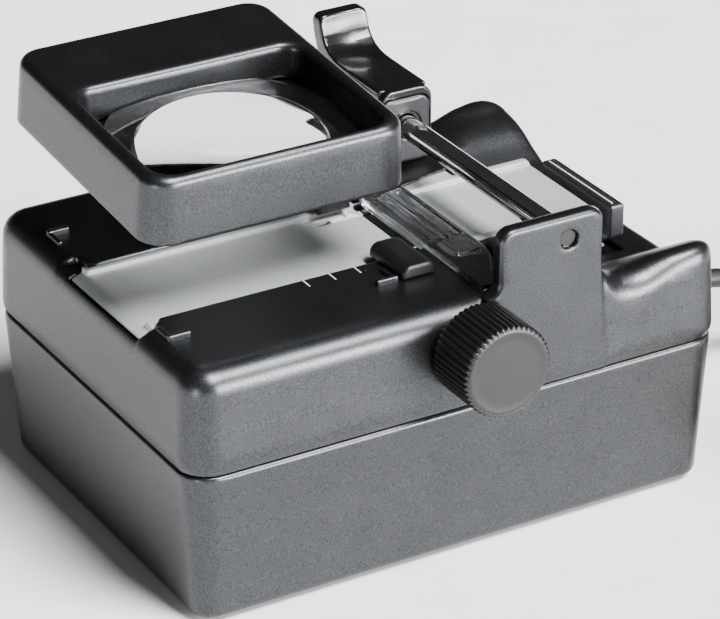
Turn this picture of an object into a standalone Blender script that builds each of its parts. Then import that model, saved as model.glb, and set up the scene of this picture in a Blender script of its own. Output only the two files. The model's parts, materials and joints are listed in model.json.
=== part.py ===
"""Illuminated 35 mm film cutter with a hinged magnifier.

Lengths in this file are millimetres, turned into metres by point(). Along the housing x runs
from the film's entry (left) to its exit (right), y runs from the knob side to the back, and z
is up from the surface that the feet stand on. x = 0 and y = 0 is the middle of the housing;
point() moves everything so that the origin is the bottom centre of the whole object.
"""
import math

import bmesh
import bpy
from mathutils import Matrix, Vector

MM = 0.001
GAP = 0.3                                   # clearance between pieces that touch

# Housing
HALF_X, HALF_Y = 87.75, 63.85               # widest outline, at the foot of the top shell
CORNER_R = 10.0
FOOT_H = 1.5
SEAM_Z = 48.8
DECK_Z = 80.0
DECK_UNDER = 77.0
DECK_FILLET = 7.0
WALL = 2.6
SEAM_INSET = 0.5                            # the top shell's bevelled lower edge
BASE_DRAFT = 2.9
TOP_DRAFT = 1.1

# Film path, from the entry at the left to the end stop at the right
FILM_Y, FILM_W = -6.55, 35.7                # centre line and width of the channel
FILM_HALF = FILM_W / 2
BED_Z = 78.1
LEDGE_Z = 79.6                              # raised rear ledge of the two opal beds
LEDGE_W = 2.4
END_LEDGE_W = 3.6                           # the ledges are wider at the entry
BED_T = 2.1
VIEW_X0, VIEW_X1 = -84.5, 6.4
NOTCH_X = -79.0                             # the entry notch ends here
CUT_X = 22.8                                # edge of the fixed blade, where the film is cut
BLADE_T = 0.6
EXIT_X0, EXIT_X1 = CUT_X + BLADE_T + 2 * GAP, 67.5
PERFORATION_Y = 14.1                        # from the centre line to each row of perforations

# Film transport
SHAFT_X, SHAFT_Z, SHAFT_R = 1.4, 68.0, 2.5
SPROCKET_R, TOOTH_R, TEETH = 10.4, 11.4, 14
KNOB_R, KNOB_L = 13.95, 18.0
KNOB_BACK_Y = -64.6

# Cutter
ROD_X, ROD_Z, ROD_R = 32.8, 93.1, 3.45
CARRIAGE_X0, CARRIAGE_X1 = 24.0, 41.6
CARRIAGE_Z0, CARRIAGE_Z1 = 81.5, 103.5
CARRIAGE_FRONT_Y, CARRIAGE_BACK_Y = 25.0, 55.0
CUT_STROKE = 58.0
LEVER_BACK_Y = 68.0

# Towers that hold the rod
TOWER_X0, TOWER_X1, TOWER_TOP_Z, TOWER_T = 10.0, 44.2, 100.5, 5.3

# Magnifier: its lower front edge, its size and its lean
MAG_X, MAG_FRONT_Y, MAG_FRONT_Z = -40.6, -31.4, 104.0
MAG_W, MAG_L, MAG_H, MAG_LEAN = 83.3, 89.8, 20.3, math.radians(4.5)
MAG_PIN_V, MAG_PIN_W = 94.3, 3.0            # hinge axis, from the lower front edge
MAG_PIN_R = 1.6
POST_HALF_X = 9.0
LENS_V, LENS_R, LENS_FLAT_V = 30.0, 35.0, 5.4   # a round lens with its front edge cut flat
WINDOW_X, WINDOW_V0, WINDOW_V1 = 35.5, 5.0, 58.0
SIGHT_R = 26.3                              # hole in the plate that the lens lies on

# Pressure flap
FLAP_X0, FLAP_X1 = 8.0, 22.4
FLAP_FRONT_Y = -57.6
FLAP_PIN_Y, FLAP_PIN_Z, FLAP_PIN_R = 22.0, 83.4, 1.2

# Mains lead
LEAD_R, LEAD_Y, LEAD_Z = 3.0, -10.0, 35.7

ORIGIN_Y = ((KNOB_BACK_Y - KNOB_L) + LEVER_BACK_Y) / 2

PAINTS = {
    "housing_grey": ((0.115, 0.120, 0.125), 0.42, 0.0),
    "black_matt": ((0.012, 0.012, 0.013), 0.45, 0.0),
    "black_gloss": ((0.008, 0.008, 0.009), 0.15, 0.0),
    "carriage_grey": ((0.10, 0.10, 0.11), 0.40, 0.0),
    "stop_grey": ((0.06, 0.06, 0.065), 0.40, 0.0),
    "opal_white": ((0.72, 0.74, 0.74), 0.20, 0.0),
    "white_plastic": ((0.75, 0.75, 0.72), 0.35, 0.0),
    "clear_acrylic": ((0.80, 0.82, 0.83), 0.05, 0.0),
    "lens_glass": ((0.85, 0.88, 0.88), 0.02, 0.0),
    "chrome": ((0.75, 0.75, 0.75), 0.08, 1.0),
    "steel": ((0.50, 0.50, 0.50), 0.30, 1.0),
    "brass": ((0.60, 0.42, 0.16), 0.30, 1.0),
    "reflector": ((0.80, 0.80, 0.80), 0.25, 1.0),
    "rubber": ((0.02, 0.02, 0.02), 0.80, 0.0),
    "cable_black": ((0.015, 0.015, 0.016), 0.55, 0.0),
}


def clear_scene():
    for obj in list(bpy.data.objects):
        bpy.data.objects.remove(obj, do_unlink=True)


def point(x, y, z):
    return Vector((x * MM, (y - ORIGIN_Y) * MM, z * MM))


def material(name):
    found = bpy.data.materials.get(name)
    if found:
        return found
    colour, roughness, metallic = PAINTS[name]
    made = bpy.data.materials.new(name)
    made.use_nodes = True
    shader = made.node_tree.nodes["Principled BSDF"]
    shader.inputs["Base Color"].default_value = (*colour, 1.0)
    shader.inputs["Roughness"].default_value = roughness
    shader.inputs["Metallic"].default_value = metallic
    return made


# Outlines

def arc(centre, radius, start, end, steps):
    """Points on a circle from one angle to another, in degrees."""
    angles = [math.radians(start + (end - start) * i / steps) for i in range(steps + 1)]
    return [(centre[0] + radius * math.cos(a), centre[1] + radius * math.sin(a)) for a in angles]


def rounded(lo, hi, radii, steps=4):
    """Rectangle with four corner radii, from the lower left round to the upper left."""
    corners = ((lo[0], lo[1], 180), (hi[0], lo[1], 270), (hi[0], hi[1], 0), (lo[0], hi[1], 90))
    outline = []
    for (x, y, angle), r in zip(corners, radii):
        cx = x + r if x == lo[0] else x - r
        cy = y + r if y == lo[1] else y - r
        outline += arc((cx, cy), r, angle, angle + 90, steps) if r else [(x, y)]
    return outline


def housing_ring(inset, z, steps=5):
    r = max(CORNER_R - inset, 1.5)
    x, y = HALF_X - inset, HALF_Y - inset
    return [point(px, py, z) for px, py in rounded((-x, -y), (x, y), (r,) * 4, steps)]


def block_ring(lo, hi, r, z, steps=3):
    return [point(px, py, z) for px, py in rounded(lo, hi, (r,) * 4, steps)]


# Solids

def add_object(name, mesh, paint):
    mesh.name = name
    if paint:
        mesh.materials.append(material(paint))
    obj = bpy.data.objects.new(name, mesh)
    bpy.context.scene.collection.objects.link(obj)
    return obj


def loft(name, rings, paint=None):
    """Closed solid through rings of equal length, capped at both ends."""
    bm = bmesh.new()
    made = [[bm.verts.new(p) for p in ring] for ring in rings]
    count = len(rings[0])
    for low, high in zip(made, made[1:]):
        for i in range(count):
            j = (i + 1) % count
            bm.faces.new((low[i], low[j], high[j], high[i]))
    bm.faces.new(list(reversed(made[0])))
    bm.faces.new(made[-1])
    bmesh.ops.recalc_face_normals(bm, faces=bm.faces)
    mesh = bpy.data.meshes.new(name)
    bm.to_mesh(mesh)
    bm.free()
    return add_object(name, mesh, paint)


def prism(name, outline, axis, lo, hi, paint=None):
    """Outline extruded along x (outline in y, z), y (in x, z) or z (in x, y)."""
    place = {"x": lambda a, b, t: point(t, a, b),
             "y": lambda a, b, t: point(a, t, b),
             "z": lambda a, b, t: point(a, b, t)}[axis]
    return loft(name, [[place(a, b, t) for a, b in outline] for t in (lo, hi)], paint)


def box(name, lo, hi, paint=None):
    outline = ((lo[0], lo[1]), (hi[0], lo[1]), (hi[0], hi[1]), (lo[0], hi[1]))
    return prism(name, outline, "z", lo[2], hi[2], paint)


def turned(name, profile, axis, centre, paint=None, steps=24):
    """Solid of revolution: profile is (radius, distance) pairs along the axis through centre."""
    rings = []
    for radius, along in profile:
        ring = []
        for i in range(steps):
            a = 2 * math.pi * (i + 0.5) / steps
            u, v = radius * math.cos(a), radius * math.sin(a)
            offset = {"x": (along, u, v), "y": (u, along, v), "z": (u, v, along)}[axis]
            ring.append(point(*(c + o for c, o in zip(centre, offset))))
        rings.append(ring)
    return loft(name, rings, paint)


def rod(name, axis, centre, radius, lo, hi, paint=None, steps=24):
    return turned(name, ((radius, lo), (radius, hi)), axis, centre, paint, steps)


def combine(obj, others, operation):
    """Boolean each of the other objects into obj, and remove them."""
    for other in others:
        modifier = obj.modifiers.new("combine", "BOOLEAN")
        modifier.operation = operation
        modifier.solver = "EXACT"
        modifier.object = other
        bpy.context.view_layer.update()
        done = bpy.data.meshes.new_from_object(obj.evaluated_get(bpy.context.evaluated_depsgraph_get()))
        obj.modifiers.clear()
        done.name = obj.name
        obj.data = done
        bpy.data.objects.remove(other, do_unlink=True)
    return obj


def cut(obj, *others):
    return combine(obj, others, "DIFFERENCE")


def unite(obj, *others):
    return combine(obj, others, "UNION")


def set_origin(obj, origin):
    """Put a moving piece's origin on its joint axis."""
    obj.data.transform(Matrix.Translation(-origin))
    obj.location = origin


# Housing

SCREW_SPOTS = [(sx * 73.0, sy * 49.0) for sy in (-1, 1) for sx in (-1, 1)]
FOOT_SPOTS = [(sx * 60.0, sy * 46.0) for sy in (-1, 1) for sx in (-1, 1)]
CORNER_NAMES = ("front_left", "front_right", "rear_left", "rear_right")


def base_shell():
    top = SEAM_Z - GAP / 2
    outer = [housing_ring(BASE_DRAFT + 2.6, FOOT_H), housing_ring(BASE_DRAFT + 1.0, FOOT_H + 0.7),
             housing_ring(BASE_DRAFT + SEAM_INSET, FOOT_H + 2.4), housing_ring(SEAM_INSET, top)]
    shell = loft("base_shell", outer, "housing_grey")
    floor = FOOT_H + 2.8
    cut(shell, loft("hollow", [housing_ring(BASE_DRAFT + SEAM_INSET + WALL, floor),
                               housing_ring(SEAM_INSET + WALL, top + 1)]))
    for x, y in SCREW_SPOTS:
        unite(shell, rod("boss", "z", (x, y, 0), 4.6, floor - 1, top - 0.2, steps=16))
        cut(shell, turned("screw_hole", ((3.7, FOOT_H - 1), (3.7, FOOT_H + 4), (1.9, FOOT_H + 4),
                                         (1.9, top + 1)), "z", (x, y, 0), steps=16))
    for x, y in FOOT_SPOTS:
        cut(shell, rod("foot_seat", "z", (x, y, 0), 6.3, FOOT_H - 1, FOOT_H + 1))
    cut(shell, rod("lead_hole", "x", (0, LEAD_Y, LEAD_Z), 4.8, HALF_X - 12, HALF_X + 2, steps=16))
    return shell


def tower_outline():
    """Front view of a rod tower: tapered sides, round shoulders and a flared left foot."""
    foot_z = SEAM_Z + GAP / 2
    flare = arc((TOWER_X0 - 5.2, DECK_Z + 5.2), 5.2, -80, 0, 4)
    left = arc((TOWER_X0 + 4.8, TOWER_TOP_Z - 4.6), 4.6, 180, 95, 4)
    right = arc((TOWER_X1 - 4.8, TOWER_TOP_Z - 4.3), 4.3, 88, 0, 4)
    foot = [(TOWER_X1 + 2.5, foot_z), (TOWER_X0 - 2.2, foot_z), (TOWER_X0 - 2.2, DECK_Z - 1.0)]
    return foot + flare[1:] + left + right


def scoop_outline():
    """Hollow across the exit end, in y and z, open at the top."""
    rear = [(57.0, 82.0), (53.0, 76.2), (47.0, 74.6), (43.0, 72.8), (38.0, 69.6), (32.5, 66.8), (26.0, 64.9)]
    front = [(-15.0, 64.3), (-33.0, 64.6), (-38.0, 66.8), (-43.5, 70.6), (-48.0, 73.4), (-53.0, 76.2),
             (-57.0, 82.0)]
    return rear + front


def top_shell():
    angles = [math.radians(a) for a in (0, 22, 45, 68, 90)]
    fillet = [(TOP_DRAFT + DECK_FILLET * (1 - math.cos(a)), DECK_Z - DECK_FILLET * (1 - math.sin(a)))
              for a in angles]
    seam = SEAM_Z + GAP / 2
    rings = [housing_ring(SEAM_INSET, seam), housing_ring(0, seam + 1.6)]
    rings += [housing_ring(inset, z) for inset, z in fillet]
    shell = loft("top_shell", rings, "housing_grey")
    for side in (-1, 1):
        faces = sorted((side * (HALF_Y - 0.05), side * (HALF_Y - TOWER_T)))
        unite(shell, prism("tower", tower_outline(), "y", *faces))
    cut(shell, prism("scoop", scoop_outline(), "x", TOWER_X1 + 2.6, HALF_X + 5))
    under = SEAM_Z - 2
    inner_y, inner_x = HALF_Y - SEAM_INSET - WALL, HALF_X - SEAM_INSET - WALL
    cut(shell, loft("hollow", [block_ring((-inner_x, -inner_y), (44.0, inner_y), 7, z) for z in (under, 70.0)]
                    + [block_ring((-inner_x + 5, -inner_y + 5), (43.0, inner_y - 5), 4, DECK_UNDER - 2.6)]))
    cut(shell, loft("exit_hollow", [block_ring((40.0, -inner_y), (inner_x, inner_y), 6, z)
                                    for z in (under, 61.5)]))
    for x, y in SCREW_SPOTS:
        unite(shell, rod("boss", "z", (x, y, 0), 4.6, seam, 62.5 if x > 0 else 75.0, steps=16))
        cut(shell, rod("screw_hole", "z", (x, y, 0), 1.9, under, 59.5, steps=16))
    cut_film_path(shell)
    cut_rod_and_shaft_holes(shell)
    return unite(shell, *locating_ribs())


def cut_film_path(shell):
    """Entry notch, openings for the two beds, floor under the flap and slots for blade and sprockets."""
    front, rear = FILM_Y - FILM_HALF, FILM_Y + FILM_HALF
    lead_in = [(-95.0, 70.0), (-88.2, 72.4), (-87.2, 74.4), (-86.4, 76.0), (-85.4, 77.2), (-84.6, 77.7)]
    notch = lead_in + [(NOTCH_X, 77.7), (NOTCH_X, 90.0), (-95.0, 90.0)]
    cut(shell, prism("notch", notch, "y", -29.0, 21.5))
    cut(shell, loft("notch_throat", [block_ring((NOTCH_X - 3, front - GAP), (VIEW_X1, rear + 6), 2.8, z)
                                     for z in (BED_Z + 0.2, 90)]))
    cut(shell, box("end_pocket", (VIEW_X0 - GAP, front - END_LEDGE_W - GAP, 70),
                   (NOTCH_X, rear + END_LEDGE_W + GAP, 90)))
    cut(shell, box("view_opening", (NOTCH_X - 1, front - GAP, 70), (VIEW_X1 + GAP, rear + LEDGE_W + GAP, 90)))
    cut(shell, box("flap_floor", (VIEW_X1, front - GAP, BED_Z - GAP), (CUT_X + 2, rear + LEDGE_W + GAP, 90)))
    cut(shell, box("blade_pocket", (CUT_X - 5.0 - GAP, front - GAP, BED_Z - 2.4),
                   (CUT_X + 1, rear + GAP, 90)))
    cut(shell, box("blade_slot", (CUT_X, CARRIAGE_FRONT_Y - CUT_STROKE - 1.0, BED_Z - 2.4),
                   (EXIT_X0, CARRIAGE_FRONT_Y + 23, 90)))
    cut(shell, box("exit_opening", (EXIT_X0 - 0.5, front - END_LEDGE_W - GAP, 62), (EXIT_X1 + 8, 14.6, 90)))
    cut(shell, prism("exit_flare", [(EXIT_X0 - 0.5, 12.0), (42.2, 12.0), (42.2, 18.2), (EXIT_X0 - 0.5, 14.6)],
                     "z", 62, 90))
    for side in (-1, 1):
        y = FILM_Y + side * PERFORATION_Y
        cut(shell, box("sprocket_slot", (SHAFT_X - 10.0, y - 1.5, 70), (SHAFT_X + 10.0, y + 1.5, 90)))


def cut_rod_and_shaft_holes(shell):
    for side in (-1, 1):
        inner, end, outside = (side * (HALF_Y - t) for t in (TOWER_T + 2, 2.7, -2))
        cut(shell, rod("rod_socket", "y", (ROD_X, 0, ROD_Z), ROD_R + GAP, min(inner, end), max(inner, end)))
        cut(shell, rod("screw_bore", "y", (ROD_X, 0, ROD_Z), 2.9, min(end - side * 0.1, outside),
                       max(end - side * 0.1, outside), steps=20))
    cut(shell, rod("shaft_bore", "y", (SHAFT_X, 0, SHAFT_Z), 4.8, -HALF_Y - 2, -HALF_Y + 8, steps=20))


def locating_ribs():
    """Four L-shaped ribs on the deck, under the magnifier."""
    ribs = []
    rib, height = 1.7, 1.6
    for x, sx in ((-81.0, 1), (-8.3, -1)):
        for y, sy in ((-39.4, 1), (37.6, -1)):
            xs = sorted((x, x + sx * 7.0))
            ys = sorted((y, y + sy * 9.0))
            bar = sorted((y, y + sy * rib))
            leg = sorted((x, x + sx * rib))
            ribs.append(box("rib", (xs[0], bar[0], DECK_Z - 1), (xs[1], bar[1], DECK_Z + height)))
            ribs.append(box("rib", (leg[0], ys[0], DECK_Z - 1), (leg[1], ys[1], DECK_Z + height * 0.98)))
    return ribs


def feet_and_screws():
    for name, (x, y) in zip(CORNER_NAMES, FOOT_SPOTS):
        turned("foot_" + name, ((5.4, 0), (6.0, 0.6), (6.0, FOOT_H + 0.7)), "z", (x, y, 0), "rubber", 20)
    for name, (x, y) in zip(CORNER_NAMES, SCREW_SPOTS):
        turned("housing_screw_" + name, ((3.3, FOOT_H + 1.4), (3.3, FOOT_H + 3.7), (1.5, FOOT_H + 3.7),
                                         (1.5, 58.0)), "z", (x, y, 0), "steel", 12)


# Film beds

def viewing_bed():
    front, rear = FILM_Y - FILM_HALF, FILM_Y + FILM_HALF
    under = BED_Z - BED_T
    bed = box("viewing_bed", (NOTCH_X - 1, front, under), (VIEW_X1, rear + LEDGE_W, LEDGE_Z), "opal_white")
    unite(bed, box("entry_end", (VIEW_X0, front - END_LEDGE_W, under),
                   (NOTCH_X - GAP, rear + END_LEDGE_W, LEDGE_Z)))
    cut(bed, box("trough", (VIEW_X0 - 2, front, BED_Z),
                 (VIEW_X1 + 2, rear, LEDGE_Z + 2)))
    for side in (-1, 1):
        y = FILM_Y + side * PERFORATION_Y
        cut(bed, box("sprocket_slot", (SHAFT_X - 10.0, y - 1.5, 70), (VIEW_X1 + 2, y + 1.5, 90)))
    return bed


def exit_bed():
    """Opal bed after the cut, with a skirt that turns down at its far end."""
    front, rear = FILM_Y - FILM_HALF, FILM_Y + FILM_HALF
    under = BED_Z - BED_T
    nose = arc((EXIT_X1 - 1.6, LEDGE_Z - 1.6), 1.6, 90, 0, 3)
    skirt = [(EXIT_X1, 70.0), (EXIT_X1 + 0.6, 68.2), (EXIT_X1 + 1.8, 67.0), (EXIT_X1 + 1.8, 66.2),
             (EXIT_X1 - 1.8, 66.2), (EXIT_X1 - 1.8, under - 1.2), (EXIT_X1 - 3.0, under)]
    outline = list(reversed([(EXIT_X0, LEDGE_Z)] + nose + skirt + [(EXIT_X0, under)]))
    bed = prism("exit_bed", outline, "y", front - 3.0, rear + 2.2, "opal_white")
    flare = [(EXIT_X0, rear), (41.6, rear), (41.6, 17.8), (34.0, 16.6), (EXIT_X0, 14.2)]
    unite(bed, prism("flare", flare, "z", under, LEDGE_Z))
    return cut(bed, box("trough", (EXIT_X0 - 2, front, BED_Z), (EXIT_X1 + 4, rear - 0.6, LEDGE_Z + 2)))


def fixed_blade():
    """Steel strip whose right edge the moving blade shears against."""
    front, rear = FILM_Y - FILM_HALF, FILM_Y + FILM_HALF
    box("fixed_blade", (CUT_X - 5.0, front, BED_Z - 2.0), (CUT_X, rear, BED_Z), "steel")


def end_stop():
    """Block that the film's end meets; it stands on two short legs in the exit hollow."""
    x0, x1 = EXIT_X1 + 1.8 + GAP, 74.6
    outline = rounded((x0, 69.6), (x1, DECK_Z), (0, 0.8, 1.2, 0.5), 3)
    bar = prism("end_stop", outline, "y", -29.5, 8.0, "stop_grey")
    for y in (-22.0, 0.0):
        unite(bar, box("leg", (x0 + 1.6, y, 65.2), (x1 - 0.6, y + 4.5, 71.0)))
    return bar


def film_guides():
    """Rounded covers that hold the film's edges down on the sprocket teeth."""
    outline = rounded((-7.5, DECK_Z + GAP), (3.5, DECK_Z + 4.2), (0.5, 0.5, 3.0, 3.0), 3)
    prism("film_guide_front", outline, "y", -40.5, FILM_Y - FILM_HALF + 3.4, "black_matt")
    prism("film_guide_rear", outline, "y", FILM_Y + FILM_HALF - 3.4, 27.5, "black_matt")


def blade_guard():
    """Small black block that ends the blade's slot and stops the carriage."""
    x0, stop = 23.2, CARRIAGE_FRONT_Y - CUT_STROKE
    outline = rounded((x0, DECK_Z + GAP), (x0 + 6.6, DECK_Z + 3.0), (0, 0, 0.9, 0.9), 3)
    prism("blade_guard", outline, "y", stop - 8.0, stop - 1.4, "black_matt")


# Film transport

def transport():
    axis = (SHAFT_X, 0, SHAFT_Z)
    front = KNOB_BACK_Y - KNOB_L
    profile = ((KNOB_R - 0.6, KNOB_BACK_Y), (KNOB_R, KNOB_BACK_Y - 0.6), (KNOB_R, front + 1.6),
               (KNOB_R - 1.6, front))
    knob = turned("transport_knob", profile, "y", axis, "black_matt", 48)
    cut(knob, rod("bore", "y", axis, SHAFT_R + GAP, front + 4, KNOB_BACK_Y + 2))
    rod("knob_shaft", "y", axis, SHAFT_R, front + 4 + GAP, FILM_Y + 27.5, "steel", 20)
    for name, side in (("sprocket_front", -1), ("sprocket_rear", 1)):
        sprocket(name, FILM_Y + side * PERFORATION_Y)
    origin = point(SHAFT_X, 0, SHAFT_Z)
    for name in ("transport_knob", "knob_shaft", "sprocket_front", "sprocket_rear"):
        set_origin(bpy.data.objects[name], origin)
    bush("front_bush", -HALF_Y + 1.4, -HALF_Y + 10.0)


def sprocket(name, y):
    outline = []
    pitch = 360 / TEETH
    for i in range(TEETH):
        middle = 90 + i * pitch
        for offset, radius in ((-0.34, SPROCKET_R), (-0.14, SPROCKET_R), (-0.08, TOOTH_R), (0.08, TOOTH_R),
                               (0.14, SPROCKET_R)):
            a = math.radians(middle + offset * pitch)
            outline.append((SHAFT_X + radius * math.cos(a), SHAFT_Z + radius * math.sin(a)))
    wheel = prism(name, outline, "y", y - 0.9, y + 0.9, "white_plastic")
    unite(wheel, rod("hub", "y", (SHAFT_X, y, SHAFT_Z), 5.0, -3.4, 3.4))
    return cut(wheel, rod("bore", "y", (SHAFT_X, y, SHAFT_Z), SHAFT_R + GAP, -6, 6))


def bush(name, front, back):
    axis = (SHAFT_X, 0, SHAFT_Z)
    sleeve = turned(name, ((4.5, front), (4.5, back - 2.0), (5.6, back - 2.0), (5.6, back)), "y", axis,
                    "brass", 20)
    return cut(sleeve, rod("bore", "y", axis, SHAFT_R + GAP, front - 2, back + 2))


def shaft_bracket():
    """Hanger under the deck that carries the rear end of the sprocket shaft."""
    y0, top = FILM_Y + FILM_HALF + LEDGE_W + 1.6, DECK_UNDER - 2.6 - GAP
    bracket = box("shaft_bracket", (SHAFT_X - 6.5, y0, 61.0), (SHAFT_X + 6.5, y0 + 5.0, top), "black_matt")
    unite(bracket, box("flange", (SHAFT_X - 6.5, y0 + 4.0, top - 2.4), (SHAFT_X + 6.5, y0 + 14.0, top)))
    cut(bracket, rod("bore", "y", (SHAFT_X, y0, SHAFT_Z), SHAFT_R + GAP, -2, 7))
    turned("bracket_screw", ((2.2, top - 4.4), (2.8, top - 3.8), (2.8, top - 2.4 - GAP)), "z",
           (SHAFT_X, y0 + 10.0, 0), "steel", 12)


# Cutter

def guide_rod():
    end = HALF_Y - 2.7 - GAP
    profile = ((ROD_R - 0.5, -end), (ROD_R, -end + 0.5), (ROD_R, end - 0.5), (ROD_R - 0.5, end))
    turned("guide_rod", profile, "y", (ROD_X, 0, ROD_Z), "chrome", 28)
    for name, side in (("rod_screw_front", -1), ("rod_screw_rear", 1)):
        ends = sorted((side * (HALF_Y - 1.3), side * (HALF_Y - 2.5)))
        rod(name, "y", (ROD_X, 0, ROD_Z), 2.5, ends[0], ends[1], "steel", 16)


def cutter():
    """Carriage on the rod, its black thumb lever, and the blade on its left face."""
    front, back = CARRIAGE_FRONT_Y, CARRIAGE_BACK_Y
    rod_at = (ROD_X, 0, ROD_Z)
    outline = rounded((CARRIAGE_X0, CARRIAGE_Z0), (CARRIAGE_X1, CARRIAGE_Z1), (0.8, 0.8, 3.4, 3.4), 3)
    carriage = prism("carriage", outline, "y", front, back, "carriage_grey")
    cut(carriage, rod("bore", "y", rod_at, ROD_R + GAP, front - 2, back + 2))
    thumb_lever()
    face = CARRIAGE_X0 - GAP
    low = BED_Z - 1.8
    outline = [(front + 1.0, 80.6), (front + 5.0, low), (front + 14.0, low), (front + 21.0, 81.0),
               (front + 21.0, 96.0), (front + 1.0, 96.0)]
    prism("cutter_blade", outline, "x", face - BLADE_T, face, "steel")
    head = face - BLADE_T
    for name, y in (("blade_screw_front", front + 5.0), ("blade_screw_rear", front + 17.0)):
        turned(name, ((1.9, head - 1.7), (2.6, head - 1.1), (2.6, head - GAP)), "x", (0, y, 91.0), "steel", 14)


def thumb_lever():
    """Black cap over the carriage, swept up and back into a dished thumb rest."""
    top, rear = CARRIAGE_Z1 + GAP, CARRIAGE_BACK_Y + GAP
    neck = [(28.0, top), (rear, top), (rear, 84.0), (rear + 2.2, 84.0), (rear + 2.2, 100.9), (62.0, 101.2),
            (64.5, 104.5), (66.6, 109.0), (LEVER_BACK_Y, 114.0), (LEVER_BACK_Y - 0.8, 116.2),
            (LEVER_BACK_Y - 2.6, 116.8), (LEVER_BACK_Y - 4.2, 115.6), (63.0, 111.0), (61.0, 107.6),
            (57.5, 105.6), (52.0, 104.9), (40.0, 105.0), (28.0, 105.0)]
    lever = prism("thumb_lever", neck, "x", CARRIAGE_X0, CARRIAGE_X1, "black_gloss")
    return cut(lever, rod("bore", "y", (ROD_X, 0, ROD_Z), ROD_R + GAP, rear - 2, rear + 6))


# Pressure flap

def flap():
    """Clear arm that holds the film flat: hinge at the rear, finger tab at the front."""
    low, top = DECK_Z + GAP, DECK_Z + 2.2
    plan = [(FLAP_X0, 16.0), (FLAP_X0, FLAP_FRONT_Y), (FLAP_X0 + 5.0, FLAP_FRONT_Y), (FLAP_X0 + 9.0, -48.0),
            (FLAP_X1 - 1.5, -42.0), (FLAP_X1, -36.0), (FLAP_X1, 16.0)]
    arm = prism("pressure_flap", plan, "z", low, top, "clear_acrylic")
    unite(arm, box("presser", (FLAP_X0 + 0.6, FILM_Y - FILM_HALF + 0.4, BED_Z + 0.4),
                   (FLAP_X1 - 0.6, FILM_Y + FILM_HALF - 0.4, low + 1)))
    unite(arm, box("finger_pad", (FLAP_X0 + 3.0, -38.0, low), (FLAP_X1 - 2.5, -27.5, top + 1.0)))
    knuckle = [(14.0, low), (FLAP_PIN_Y - 2.0, low)] + arc((FLAP_PIN_Y, FLAP_PIN_Z), 2.8, 250, 450, 7)
    knuckle += [(FLAP_PIN_Y - 3.4, top + 1.6), (FLAP_PIN_Y - 6.0, top), (14.0, top)]
    unite(arm, prism("knuckle", knuckle, "x", FLAP_X0 + 3.4, FLAP_X1 - 3.4))
    cut(arm, rod("bore", "x", (0, FLAP_PIN_Y, FLAP_PIN_Z), FLAP_PIN_R + GAP, 0, 40, steps=14))
    ends = (FLAP_X0 + 0.4, FLAP_X1 - 0.4)
    pin = rod("flap_pin", "x", (0, FLAP_PIN_Y, FLAP_PIN_Z), FLAP_PIN_R, *ends, "steel", 12)
    set_origin(arm, point((FLAP_X0 + FLAP_X1) / 2, FLAP_PIN_Y, FLAP_PIN_Z))
    flap_bracket()
    return pin


def flap_bracket():
    """Small fork on the deck that holds the flap's hinge pin."""
    floor = DECK_Z + GAP
    fork = box("flap_bracket", (FLAP_X0, FLAP_PIN_Y + 3.6, floor), (FLAP_X1, FLAP_PIN_Y + 9.0, floor + 2.0),
               "black_matt")
    for x in (FLAP_X0, FLAP_X1 - 2.8):
        ear = [(FLAP_PIN_Y - 2.8, floor), (FLAP_PIN_Y + 5.0, floor)]
        ear += [(FLAP_PIN_Y + 5.0, floor + 2.0)] + arc((FLAP_PIN_Y, FLAP_PIN_Z), 2.8, 0, 180, 6)
        unite(fork, prism("ear", ear, "x", x, x + 2.8))
    return cut(fork, rod("bore", "x", (0, FLAP_PIN_Y, FLAP_PIN_Z), FLAP_PIN_R + GAP, 0, 40, steps=14))


# Magnifier, modelled flat from its lower front edge and then leant back

def lean():
    corner = point(MAG_X, MAG_FRONT_Y, MAG_FRONT_Z)
    return Matrix.Translation(corner) @ Matrix.Rotation(MAG_LEAN, 4, "X")


def pin_place():
    return lean() @ Vector((0, MAG_PIN_V * MM, MAG_PIN_W * MM))


def leant(obj):
    """Move a piece modelled about the world's origin to the magnifier's place and lean."""
    obj.data.transform(Matrix.Translation(-point(0, 0, 0)))
    obj.data.transform(Matrix.Translation((0, -MAG_PIN_V * MM, -MAG_PIN_W * MM)))
    obj.location = pin_place()
    obj.rotation_euler = (MAG_LEAN, 0, 0)
    return obj


def magnifier_ring(inset, w, r):
    half = MAG_W / 2 - inset
    return block_ring((-half, inset), (half, MAG_L - inset), max(r - inset, 1.5), w, 4)


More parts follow.
